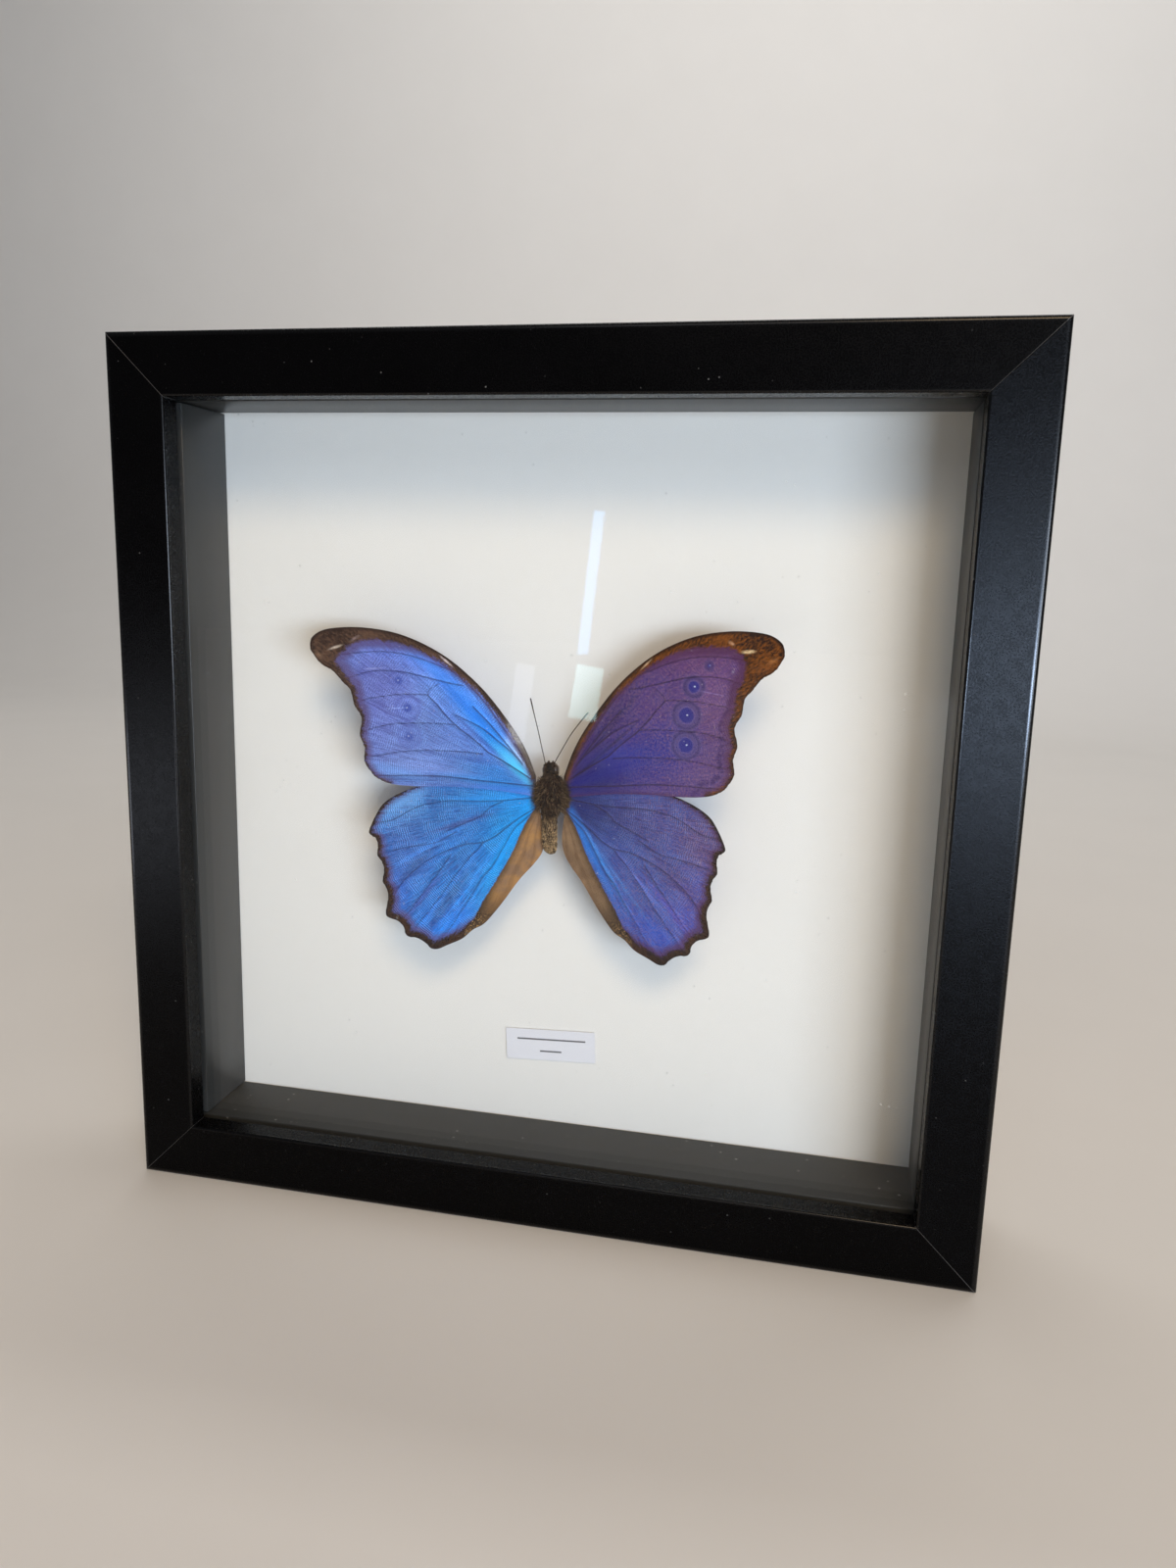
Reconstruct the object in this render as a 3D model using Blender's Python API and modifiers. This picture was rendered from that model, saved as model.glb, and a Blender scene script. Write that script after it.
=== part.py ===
"""A blue butterfly mounted in a deep, square, glazed frame.

The frame stands upright on its bottom rail. Its front faces -Y and +X is to the right as seen from
the front. The origin is on the floor under the middle of the frame. Depths are counted from the
front face towards the back.

Four mitred rails hold, from front to back: a glass pane, four spacer strips that keep it off the
card, the mount card with its paper label, and a back panel held by eight bent-in tabs. The
butterfly sits on a small foam block glued to the card.
"""
import math

import bmesh
import bpy

MM = 0.001
GAP = 0.3 * MM

# Frame
SIDE = 250.0 * MM
DEPTH = 45.0 * MM
FACE = 17.2 * MM
WALL = 10.0 * MM
LIP = 6.5 * MM
EDGE_ROUND = 1.2 * MM
LIP_ROUND = 0.7 * MM
MITRE_GAP = GAP / math.sqrt(2.0)

# What lies behind the lip, as thicknesses from front to back
GLASS = 2.0 * MM
SPACER_DEPTH = 23.6 * MM
CARD = 1.5 * MM
PANEL = 3.0 * MM

GLASS_FRONT = LIP + GAP
SPACER_FRONT = GLASS_FRONT + GLASS + GAP
CARD_FRONT = SPACER_FRONT + SPACER_DEPTH + GAP
PANEL_FRONT = CARD_FRONT + CARD + GAP
PANEL_BACK = PANEL_FRONT + PANEL
PACK_SIDE = SIDE - 2 * WALL - 2 * GAP
SPACER_WALL = FACE - WALL - GAP

# Tabs
TAB = 0.6 * MM
TAB_WIDTH = 9.0 * MM
TAB_REACH = 9.0 * MM
TAB_BURIED = 4.5 * MM
TAB_OFFSETS = (-60.0 * MM, 60.0 * MM)

# Hanger
HANGER_HEIGHT = 205.0 * MM
HANGER_WIDTH = 12.0 * MM
HANGER_PLATE = 0.8 * MM
HANGER_LIFT = 2.4 * MM
HANGER_RIVETS = 27.5 * MM
TEETH = 7
TOOTH_PITCH = 5.0 * MM
RIVET_HOLE = 1.5 * MM
RIVET_PROFILE = [(0, 1.1), (1.3, 0.95), (2.2, 0.5), (2.6, 0), (1.2, 0), (1.2, -3.4), (0, -3.4)]

# Label
LABEL = (28.6 * MM, 10.0 * MM, 0.25 * MM)
LABEL_PLACE = (-2.6 * MM, -82.3 * MM)
LABEL_TURN = math.radians(3.0)

# Butterfly
HINGE_DEPTH = 20.2 * MM
SPECIMEN_PLACE = (-1.2 * MM, 0.5 * MM)
SPECIMEN_TURN = math.radians(1.5)
WING_RISE = math.radians(6.0)
WING = 0.5 * MM
HIND_DROP = 1.0 * MM
BODY_SQUASH = 0.9
BODY_WIDEST = 3.8 * MM
BODY_ASIDE = 0.2 * MM
BLOCK = (5.0 * MM, 7.0 * MM)
ANTENNA_RADIUS = 0.2 * MM

# Wing outlines in mm: x out from the body, y towards the head. The hidden front edge of the hind
# wing runs under the forewing. Each margin point is the tip or the hollow of one scallop.
FORE_FRONT = [(4.2, 5.2), (7.2, 13), (12, 21), (20, 31.2), (30, 39.8), (41, 45.2), (52, 47.3), (62, 46.9)]
FORE_MARGIN = [(66.6, 44.8), (67.8, 41.8), (66.9, 39.3), (64.7, 36.6), (61.6, 34.7), (58.9, 31.4),
               (57.1, 29.4), (56.2, 25), (54.8, 22.6), (54.3, 20.2), (55.2, 16.4), (54, 12.5),
               (54.4, 9.2), (53.6, 6.7), (50.8, 3.5)]
FORE_REAR = [(47, 2), (40, 1.4), (30, 1.5), (20, 1.1), (10, -0.1), (4.2, -1)]
HIND_FRONT = [(4.2, 0.8), (14, 3.4), (26, 3.6), (36, 1.7), (42.5, -0.5), (47.7, -3.6), (50.4, -7.2)]
HIND_MARGIN = [(52.8, -12.4), (52.3, -13.9), (50.9, -14.9), (50.4, -17), (50.7, -20), (49.5, -21.8),
               (48.8, -24.2), (49.3, -27.8), (48.4, -29.7), (47.8, -32.4), (48.7, -37.9), (47.6, -39.3),
               (45.2, -40.1), (43.5, -41.9), (43, -44), (41.8, -44.9), (39.4, -45.2), (36.8, -46.9),
               (35.5, -48.3), (33.4, -48.4), (30.5, -47)]
HIND_REAR = [(26.2, -44.9), (23, -42), (19.5, -39.8), (15, -34), (10, -26.3), (6.2, -21.4), (4, -17.6),
             (3.3, -13), (4.2, -6)]
# How much wider each wing is set than the outline: all over, and more towards the forewing's tip
FORE_SPREAD = {"left": (0.005, 0.03), "right": (-0.015, -0.01)}
HIND_SPREAD = {"left": (0.034, 0.0), "right": (-0.028, 0.0)}
# Body, as radius and place along it, from the head's front to the tip of the abdomen
BODY_PROFILE = [(0, 9.4), (0.9, 9.2), (1.8, 8.6), (2.3, 7.5), (2.2, 6.3), (1.9, 5.6), (2.7, 4.9), (3.5, 3.4),
                (3.8, 1.2), (3.8, -1.4), (3.4, -4), (2.7, -6), (2.4, -8), (2.4, -11), (2.3, -14),
                (1.9, -16.2), (1.1, -17.3), (0, -17.7)]
ANTENNAE = {
    "left": [(-1.4, 9.6, 1.0), (-2.2, 14, 1.6), (-3.0, 18.8, 2.4), (-3.9, 23.5, 3.2), (-4.7, 28.0, 4.0)],
    "right": [(1.7, 9.6, 1.0), (3.8, 13.2, 1.6), (6.6, 17.7, 2.4), (9.4, 21.3, 3.2), (12.0, 24.4, 4.0)],
}


def new_collection(name):
    collection = bpy.data.collections.new(name)
    bpy.context.scene.collection.children.link(collection)
    return collection


def new_material(name, colour, roughness, metallic=0.0, transmission=0.0):
    material = bpy.data.materials.new(name)
    material.use_nodes = True
    shader = material.node_tree.nodes["Principled BSDF"]
    shader.inputs["Base Color"].default_value = (*colour, 1.0)
    shader.inputs["Roughness"].default_value = roughness
    shader.inputs["Metallic"].default_value = metallic
    shader.inputs["Transmission Weight"].default_value = transmission
    material.diffuse_color = (*colour, 1.0)
    return material


def add_object(name, data, material, parent, location=(0, 0, 0), rotation=(0, 0, 0)):
    """Put a finished piece in the model, placed from its parent."""
    thing = bpy.data.objects.new(name, data)
    model.objects.link(thing)
    data.materials.clear()
    data.materials.append(material)
    thing.parent = parent
    thing.location = location
    thing.rotation_euler = rotation
    return thing


def add_empty(name, location, rotation, parent=None):
    empty = bpy.data.objects.new(name, None)
    model.objects.link(empty)
    empty.empty_display_size = 0.02
    empty.location = location
    empty.rotation_euler = rotation
    empty.parent = parent
    return empty


def box_mesh(name, size):
    """A box centred on its own origin."""
    bm = bmesh.new()
    bmesh.ops.create_cube(bm, size=1.0)
    bmesh.ops.scale(bm, vec=size, verts=bm.verts)
    mesh = bpy.data.meshes.new(name)
    bm.to_mesh(mesh)
    bm.free()
    return mesh


def cylinder_mesh(name, radius, length, sides):
    bm = bmesh.new()
    bmesh.ops.create_cone(bm, cap_ends=True, segments=sides, radius1=radius, radius2=radius, depth=length)
    mesh = bpy.data.meshes.new(name)
    bm.to_mesh(mesh)
    bm.free()
    return mesh


def flat_curve(name, points, thickness):
    """A closed flat outline in its own XY plane, filled and given its thickness along Z."""
    curve = bpy.data.curves.new(name, "CURVE")
    curve.dimensions = "2D"
    curve.fill_mode = "BOTH"
    curve.extrude = thickness / 2
    spline = curve.splines.new("POLY")
    spline.points.add(len(points) - 1)
    for point, (x, y) in zip(spline.points, points):
        point.co = (x, y, 0, 1)
    spline.use_cyclic_u = True
    return curve


def welded_mesh(name, curve):
    """The mesh of a curve, with its caps joined to its sides."""
    holder = bpy.data.objects.new(name, curve)
    model.objects.link(holder)
    bpy.context.view_layer.update()
    evaluated = holder.evaluated_get(bpy.context.evaluated_depsgraph_get())
    mesh = bpy.data.meshes.new_from_object(evaluated)
    bpy.data.objects.remove(holder)
    bm = bmesh.new()
    bm.from_mesh(mesh)
    bmesh.ops.remove_doubles(bm, verts=bm.verts, dist=1e-6)
    bm.to_mesh(mesh)
    bm.free()
    return mesh


def turned(name, profile, steps, material, parent, location, rotation):
    """A profile of (radius, height) points, listed from the top down, turned about its own Z."""
    mesh = bpy.data.meshes.new(name)
    edges = [(i, i + 1) for i in range(len(profile) - 1)]
    mesh.from_pydata([(radius, 0, height) for radius, height in profile], edges, [])
    thing = add_object(name, mesh, material, parent, location, rotation)
    screw = thing.modifiers.new("Turn", "SCREW")
    screw.steps = steps
    screw.render_steps = steps
    screw.use_merge_vertices = True
    screw.merge_threshold = 1e-6
    screw.use_smooth_shade = True
    return thing


def cut(thing, cutter_data, name, location, rotation=(0, 0, 0)):
    """Take a cutter's shape out of a piece. The cutter is placed in the piece's own space."""
    cutter = bpy.data.objects.new(name, cutter_data)
    cutters.objects.link(cutter)
    cutter.parent = thing
    cutter.location = location
    cutter.rotation_euler = rotation
    cutter.hide_render = True
    cutter.display_type = "WIRE"
    boolean = thing.modifiers.new(name, "BOOLEAN")
    boolean.operation = "DIFFERENCE"
    boolean.object = cutter
    return cutter


def arc(centre, radius, start, end, steps):
    """Points along an arc, with its angles in degrees."""
    points = []
    for i in range(steps + 1):
        angle = math.radians(start + (end - start) * i / steps)
        points.append((centre[0] + radius * math.cos(angle), centre[1] + radius * math.sin(angle)))
    return points


def in_metres(points):
    return [tuple(value * MM for value in point) for point in points]


def sheet_at(depth):
    """The Y of a plane at a depth behind the frame's front face."""
    return depth - DEPTH / 2


# ---------------------------------------------------------------- rails

def rail_profile():
    """Half a picture of the rail: x is the depth behind the front, y the distance in from outside."""
    rear = DEPTH - LIP_ROUND
    points = arc((EDGE_ROUND, EDGE_ROUND), EDGE_ROUND, 270, 180, 4)
    points += arc((LIP_ROUND, FACE - LIP_ROUND), LIP_ROUND, 180, 90, 3)
    points += [(LIP, FACE), (LIP, WALL), (DEPTH, WALL)]
    points += arc((rear, LIP_ROUND), LIP_ROUND, 0, -90, 3)
    return points


def mitre_ends(mesh):
    """Slope both ends at 45 degrees, so that the rail is shortest along its inner edge."""
    for vertex in mesh.vertices:
        reach = SIDE / 2 - vertex.co.y - MITRE_GAP
        vertex.co.z = math.copysign(reach, vertex.co.z)


def add_rail(name, side):
    mesh = welded_mesh(name, flat_curve(name, rail_profile(), SIDE))
    mitre_ends(mesh)
    rail = add_object(name, mesh, foil, side, (0, -DEPTH / 2, -SIDE / 2), (math.pi / 2, 0, math.pi / 2))
    for number, offset in enumerate(TAB_OFFSETS, 1):
        slot_height = 2 * (TAB_BURIED + GAP)
        slot = box_mesh(name + "_slot", (TAB + 2 * GAP, slot_height, TAB_WIDTH + 2 * GAP))
        cut(rail, slot, f"{name}_slot_{number}", (PANEL_BACK + GAP + TAB / 2, WALL, offset))


# ---------------------------------------------------------------- spacers and tabs

def add_spacer(name, side, length):
    """A strip behind the glass, level with the inner edge of the rail's lip."""
    mesh = box_mesh(name, (length, SPACER_DEPTH, SPACER_WALL))
    height = WALL + GAP + SPACER_WALL / 2 - SIDE / 2
    add_object(name, mesh, black_board, side, (0, sheet_at(SPACER_FRONT + SPACER_DEPTH / 2), height))


def add_tab(name, side, offset):
    """A steel tongue driven into the rail behind the back panel, with a round free end."""
    half = TAB_WIDTH / 2
    outline = [(-half, -TAB_BURIED), (half, -TAB_BURIED)] + arc((0, TAB_REACH - half), half, 0, 180, 8)
    height = WALL - SIDE / 2
    place = (offset, sheet_at(PANEL_BACK + GAP + TAB / 2), height)
    add_object(name, flat_curve(name, outline, TAB), steel, side, place, (math.pi / 2, 0, 0))


# ---------------------------------------------------------------- back panel and hanger

def add_sheet(name, material, front, thickness):
    """A square sheet that fills the frame's rebate."""
    mesh = box_mesh(name, (PACK_SIDE, thickness, PACK_SIDE))
    return add_object(name, mesh, material, centre, (0, sheet_at(front + thickness / 2), 0))


def add_hanger(height):
    """A strip whose middle stands off the panel, with a row of notches along its lower edge."""
    half = [(19.6 * MM, HANGER_LIFT), (22.6 * MM, 0), (32.0 * MM, 0)]
    inner = [(-x, lift) for x, lift in reversed(half)] + half
    outer = [(x, lift + HANGER_PLATE) for x, lift in reversed(inner)]
    mesh = welded_mesh("hanger", flat_curve("hanger", inner + outer, HANGER_WIDTH))
    hanger = add_object("hanger", mesh, steel, centre, (0, sheet_at(PANEL_BACK + GAP), height))
    notch = box_mesh("hanger_notch", (2.5 * MM, 12 * MM, 2.5 * MM))
    for number in range(TEETH):
        along = (number - (TEETH - 1) / 2) * TOOTH_PITCH
        cut(hanger, notch, f"hanger_notch_{number + 1}", (along, 0, -HANGER_WIDTH / 2), (0, math.pi / 4, 0))
    hole = cylinder_mesh("hanger_hole", RIVET_HOLE, 12 * MM, 16)
    for side_name, x in (("left", -HANGER_RIVETS), ("right", HANGER_RIVETS)):
        cut(hanger, hole, f"hanger_hole_{side_name}", (x, 0, 0), (math.pi / 2, 0, 0))
        cut(back_panel, hole, f"panel_hole_{side_name}", (x, 0, height), (math.pi / 2, 0, 0))
        place = (x, sheet_at(PANEL_BACK + 2 * GAP + HANGER_PLATE), height)
        profile = in_metres(RIVET_PROFILE)
        turned(f"hanger_rivet_{side_name}", profile, 16, steel, centre, place, (-math.pi / 2, 0, 0))


# ---------------------------------------------------------------- butterfly

def smooth_path(points, steps):
    """A smooth line through the points, with a few steps between each two."""
    padded = [points[0]] + list(points) + [points[-1]]
    path = []
    for a, b, c, d in zip(padded, padded[1:], padded[2:], padded[3:]):
        for i in range(steps):
            t = i / steps
            weights = ((-t + 2 * t**2 - t**3) / 2, (2 - 5 * t**2 + 3 * t**3) / 2,
                       (t + 4 * t**2 - 3 * t**3) / 2, (t**3 - t**2) / 2)
            path.append(tuple(sum(w * p[axis] for w, p in zip(weights, (a, b, c, d))) for axis in (0, 1)))
    path.append(tuple(points[-1]))
    return path


def wing_outline(outline, spread, side):
    """The outline of one wing in metres, widened by its spread and turned to its side."""
    all_over, at_tip = spread
    direction = 1 if side == "right" else -1
    points = []
    for x, y in smooth_path(outline, 3):
        reach = x * (1 + all_over + at_tip * y / 45)
        points.append((direction * reach * MM, y * MM))
    return points if side == "right" else points[::-1]


def add_wing(name, outline, spread, side, material, height):
    points = wing_outline(outline, spread, side)
    rise = -WING_RISE if side == "right" else WING_RISE
    add_object(name, flat_curve(name, points, WING), material, specimen, (0, 0, height), (0, rise, 0))


def add_antenna(side):
    """A fine feeler: a round wire, a little thicker at its free end."""
    curve = bpy.data.curves.new(f"antenna_{side}", "CURVE")
    curve.dimensions = "3D"
    curve.bevel_depth = ANTENNA_RADIUS
    curve.bevel_resolution = 2
    curve.use_fill_caps = True
    points = in_metres(ANTENNAE[side])
    spline = curve.splines.new("POLY")
    spline.points.add(len(points) - 1)
    for number, point in enumerate(spline.points):
        point.co = (*points[number], 1)
        point.radius = 1.4 if number == len(points) - 1 else 1.0
    add_object(f"antenna_{side}", curve, chitin, specimen)


def add_body():
    """Head, thorax and abdomen in one, a little flatter than it is wide."""
    place = (BODY_ASIDE, 0, 0)
    body = turned("body", in_metres(BODY_PROFILE), 20, chitin, specimen, place, (-math.pi / 2, 0, 0))
    body.scale = (1, BODY_SQUASH, 1)


def add_foam_block():
    """A small block, glued to the card, whose other end is glued under the thorax."""
    top = HINGE_DEPTH + BODY_WIDEST * BODY_SQUASH + GAP
    height = CARD_FRONT - GAP - top
    mesh = box_mesh("foam_block", (BLOCK[0], BLOCK[1], height))
    block = add_object("foam_block", mesh, foam, specimen, (BODY_ASIDE, 0, HINGE_DEPTH - top - height / 2))
    bevel = block.modifiers.new("Soft edges", "BEVEL")
    bevel.width = 0.4 * MM
    bevel.segments = 2


# ================================================================ the model

for old in list(bpy.data.objects):
    bpy.data.objects.remove(old)
model = new_collection("framed_butterfly")
cutters = new_collection("cutters")

foil = new_material("black_foil", (0.012, 0.012, 0.014), 0.35)
black_board = new_material("black_board", (0.02, 0.02, 0.022), 0.8)
clear_glass = new_material("clear_glass", (1, 1, 1), 0.02, transmission=1.0)
white_card = new_material("white_card", (0.76, 0.74, 0.70), 0.9)
hardboard = new_material("hardboard", (0.22, 0.13, 0.07), 0.8)
steel = new_material("steel", (0.55, 0.56, 0.58), 0.4, metallic=1.0)
paper = new_material("label_paper", (0.83, 0.80, 0.72), 0.85)
foam = new_material("mount_foam", (0.82, 0.80, 0.76), 0.9)
blue_scales = new_material("blue_scales", (0.06, 0.18, 0.72), 0.45)
violet_scales = new_material("violet_scales", (0.10, 0.07, 0.38), 0.5)
chitin = new_material("brown_chitin", (0.05, 0.03, 0.02), 0.7)

centre = add_empty("frame_centre", (0, 0, SIDE / 2), (0, 0, 0))
for number, side_name in enumerate(("bottom", "left", "top", "right")):
    side_empty = add_empty(f"side_{side_name}", (0, 0, 0), (0, number * math.pi / 2, 0), centre)
    add_rail(f"rail_{side_name}", side_empty)
    upright = side_name in ("left", "right")
    spacer_length = PACK_SIDE - 2 * (SPACER_WALL + GAP) if upright else PACK_SIDE
    add_spacer(f"spacer_{side_name}", side_empty, spacer_length)
    for tab_number, tab_offset in enumerate(TAB_OFFSETS, 1):
        add_tab(f"tab_{side_name}_{tab_number}", side_empty, tab_offset)

add_sheet("glass_pane", clear_glass, GLASS_FRONT, GLASS)
add_sheet("mount_card", white_card, CARD_FRONT, CARD)
back_panel = add_sheet("back_panel", hardboard, PANEL_FRONT, PANEL)
add_hanger(HANGER_HEIGHT - SIDE / 2)

label_y = sheet_at(CARD_FRONT - GAP - LABEL[2] / 2)
label_mesh = box_mesh("label", (LABEL[0], LABEL[2], LABEL[1]))
add_object("label", label_mesh, paper, centre, (LABEL_PLACE[0], label_y, LABEL_PLACE[1]), (0, -LABEL_TURN, 0))

specimen_place = (SPECIMEN_PLACE[0], sheet_at(HINGE_DEPTH), SPECIMEN_PLACE[1])
specimen = add_empty("specimen", specimen_place, (math.pi / 2, -SPECIMEN_TURN, 0), centre)
for side_name, scales in (("left", blue_scales), ("right", violet_scales)):
    fore = FORE_FRONT + FORE_MARGIN + FORE_REAR
    hind = HIND_FRONT + HIND_MARGIN + HIND_REAR
    add_wing(f"forewing_{side_name}", fore, FORE_SPREAD[side_name], side_name, scales, 0)
    add_wing(f"hindwing_{side_name}", hind, HIND_SPREAD[side_name], side_name, scales, -HIND_DROP)
    add_antenna(side_name)
add_body()
add_foam_block()
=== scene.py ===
import math

import bmesh
import bpy
import numpy as np
from mathutils import Matrix, Vector


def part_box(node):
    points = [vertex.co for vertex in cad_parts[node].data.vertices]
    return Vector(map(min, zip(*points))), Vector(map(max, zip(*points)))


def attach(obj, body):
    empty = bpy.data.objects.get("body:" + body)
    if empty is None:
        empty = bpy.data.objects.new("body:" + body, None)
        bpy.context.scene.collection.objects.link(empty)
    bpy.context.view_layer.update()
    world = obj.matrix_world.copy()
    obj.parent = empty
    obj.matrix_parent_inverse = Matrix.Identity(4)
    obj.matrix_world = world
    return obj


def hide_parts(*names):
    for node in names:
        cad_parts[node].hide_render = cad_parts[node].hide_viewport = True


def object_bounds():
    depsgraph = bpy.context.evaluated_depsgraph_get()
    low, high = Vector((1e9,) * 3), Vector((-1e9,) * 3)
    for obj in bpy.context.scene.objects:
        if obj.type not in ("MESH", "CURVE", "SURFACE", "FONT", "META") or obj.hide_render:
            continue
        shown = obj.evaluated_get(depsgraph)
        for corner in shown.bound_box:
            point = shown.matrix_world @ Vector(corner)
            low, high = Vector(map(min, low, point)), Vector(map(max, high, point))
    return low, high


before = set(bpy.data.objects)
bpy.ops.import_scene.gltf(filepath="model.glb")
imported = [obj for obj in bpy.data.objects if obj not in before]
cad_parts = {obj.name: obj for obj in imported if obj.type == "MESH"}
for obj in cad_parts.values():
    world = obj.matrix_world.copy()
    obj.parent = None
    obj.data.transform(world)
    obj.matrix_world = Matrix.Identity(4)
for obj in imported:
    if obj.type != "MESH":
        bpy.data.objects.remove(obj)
cad_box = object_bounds()


# ---- Camera: a little right of the frame and above its middle, turned down and to the left, as the
# frame is looked at from close by.
low, high = cad_box
FRONT = low.y
LENS = 26.04
SENSOR = 36
EYE_PLACE = (0.0760, FRONT - 0.2921, 0.1894)
EYE_RIGHT = Vector((0.97684, 0.21230, 0.02673))
EYE_UP = Vector((-0.06513, 0.17598, 0.98224))
eye = bpy.data.cameras.new("camera")
eye.lens = LENS
eye.sensor_width = SENSOR
camera = bpy.data.objects.new("camera", eye)
bpy.context.scene.collection.objects.link(camera)
camera.location = EYE_PLACE
camera.rotation_euler = Matrix((EYE_RIGHT, EYE_UP, EYE_RIGHT.cross(EYE_UP))).transposed().to_euler()
bpy.context.scene.camera = camera


# ---- Rails: four lengths of fibreboard with an L section, wrapped in black foil and mitred. The
# foil has a fine grain and a satin sheen, is rubbed shinier along its edges, and shows a hair-thin
# paler line where the mitres meet.
MM = 0.001
SIDE = high.x - low.x
DEPTH = high.y - low.y
BACK = high.y
MIDDLE = (low + high) / 2
FIT = 0.3 * MM
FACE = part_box("rail_bottom")[1].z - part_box("rail_bottom")[0].z
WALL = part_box("back_panel")[0].z - FIT
LIP_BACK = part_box("glass_pane")[0].y - FIT
MITRE_JOINT = 0.03 * MM
EDGE_ROUND = 1.2 * MM
LIP_ROUND = 0.7 * MM


class Wire:
    """What comes out of a shader node. Arithmetic on it adds the Math nodes that work it out."""

    def __init__(self, tree, socket):
        self.tree = tree
        self.socket = socket

    def maths(self, operation, *values):
        node = self.tree.nodes.new("ShaderNodeMath")
        node.operation = operation
        for slot, value in zip(node.inputs, values):
            plug_in(self.tree, slot, value)
        return Wire(self.tree, node.outputs[0])

    def __add__(self, other):
        return self.maths("ADD", self, other)

    def __radd__(self, other):
        return self.maths("ADD", other, self)

    def __sub__(self, other):
        return self.maths("SUBTRACT", self, other)

    def __rsub__(self, other):
        return self.maths("SUBTRACT", other, self)

    def __mul__(self, other):
        return self.maths("MULTIPLY", self, other)

    def __rmul__(self, other):
        return self.maths("MULTIPLY", other, self)

    def __truediv__(self, other):
        return self.maths("DIVIDE", self, other)

    def __pow__(self, other):
        return self.maths("POWER", self, other)

    def __abs__(self):
        return self.maths("ABSOLUTE", self)

    def beside(self, name):
        """Another output of the same node."""
        return Wire(self.tree, self.socket.node.outputs[name])


def plug_in(tree, slot, value):
    """Link a wire to a node's input, or set the input to a plain value."""
    if isinstance(value, Wire):
        tree.links.new(value.socket, slot)
    elif hasattr(slot.default_value, "__len__") and len(slot.default_value) == 4 and len(value) == 3:
        slot.default_value = (*value, 1.0)
    else:
        slot.default_value = value


class Nodes:
    """The nodes that shade one thing. Its shader is the node that is there from the start."""

    def __init__(self, owner, shader):
        owner.use_nodes = True
        self.tree = owner.node_tree
        self.shader = self.tree.nodes[shader]

    def put(self, slot_name, value):
        plug_in(self.tree, self.shader.inputs[slot_name], value)

    def node(self, kind, settings=None, inputs=None, out=0):
        """Any node: its settings first, then the values or wires of its inputs."""
        node = self.tree.nodes.new(kind)
        for key, value in (settings or {}).items():
            setattr(node, key, value)
        for key, value in (inputs or {}).items():
            plug_in(self.tree, node.inputs[key], value)
        return Wire(self.tree, node.outputs[out])


class Finish(Nodes):
    """One surface finish: a Principled shader, and the nodes that vary it over the surface."""

    def __init__(self, name, constants=None):
        self.material = bpy.data.materials.new(name)
        super().__init__(self.material, "Principled BSDF")
        for slot_name, value in (constants or {}).items():
            self.put(slot_name, value)

    def place(self):
        """Where on the object a point is, in metres."""
        return self.node("ShaderNodeTexCoord", out="Object")

    def mark(self, name, out="Fac"):
        """What the mesh says of itself at a point, by the name of the mark."""
        return self.node("ShaderNodeAttribute", {"attribute_name": name}, out=out)

    def parts(self, vector):
        """The X, Y and Z of a place."""
        x = self.node("ShaderNodeSeparateXYZ", inputs={0: vector})
        return x, x.beside("Y"), x.beside("Z")

    def vector(self, x, y, z):
        return self.node("ShaderNodeCombineXYZ", inputs={"X": x, "Y": y, "Z": z})

    def noise(self, size, detail=2.0, at=None, roughness=0.5):
        """Cloudy noise whose blobs are about size metres across."""
        inputs = {"Vector": at or self.place(), "Scale": 1.0 / size, "Detail": detail, "Roughness": roughness}
        return self.node("ShaderNodeTexNoise", inputs=inputs)

    def cells(self, size, at=None):
        """Round cells about size metres across: how far a point is from the middle of its own."""
        inputs = {"Vector": at or self.place(), "Scale": 1.0 / size}
        return self.node("ShaderNodeTexVoronoi", inputs=inputs)

    def fade(self, value, start, end, low=0.0, high=1.0):
        """A soft step from low at start to high at end."""
        inputs = {"Value": value, "From Min": start, "From Max": end, "To Min": low, "To Max": high}
        return self.node("ShaderNodeMapRange", {"interpolation_type": "SMOOTHSTEP"}, inputs)

    def mix(self, amount, first, second):
        """Colour going from the first to the second as amount goes from 0 to 1."""
        return self.node("ShaderNodeMix", {"data_type": "RGBA"}, {0: amount, 6: first, 7: second}, out=2)

    def maths(self, operation, first, second):
        return self.node("ShaderNodeMath", {"operation": operation}, {0: first, 1: second})

    def wave(self, phase):
        return self.node("ShaderNodeMath", {"operation": "SINE"}, {0: phase})

    def specks(self, size, share, at=None):
        """Scattered round specks: about a share of all the cells, each size metres apart, hold one."""
        away = self.cells(size, at)
        chance = self.parts(away.beside("Color"))[0]
        return self.fade(away, 0.10, 0.22, 1.0, 0.0) * self.maths("LESS_THAN", chance, share)

    def relief(self, height, depth):
        """Bumps as high as depth metres where height goes from 0 to 1."""
        self.put("Normal", self.node("ShaderNodeBump", inputs={"Height": height, "Distance": depth}))


def deselect():
    bpy.ops.object.select_all(action="DESELECT")


def activate(thing):
    deselect()
    thing.select_set(True)
    bpy.context.view_layer.objects.active = thing


def settle(thing):
    """Move a piece's place and turn into its mesh."""
    activate(thing)
    bpy.ops.object.transform_apply(location=True, rotation=True, scale=True)


def modify(thing, kind, **settings):
    """Add a modifier and apply it at once."""
    activate(thing)
    modifier = thing.modifiers.new(kind.title(), kind)
    for key, value in settings.items():
        setattr(modifier, key, value)
    bpy.ops.object.modifier_apply(modifier=modifier.name)


def pick(thing, wanted):
    """In edit mode, select the faces whose middle and normal pass the test."""
    bpy.ops.mesh.select_mode(type="FACE")
    mesh = bmesh.from_edit_mesh(thing.data)
    for face in mesh.faces:
        face.select_set(wanted(face.calc_center_median(), face.normal))
    bmesh.update_edit_mesh(thing.data)


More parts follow.
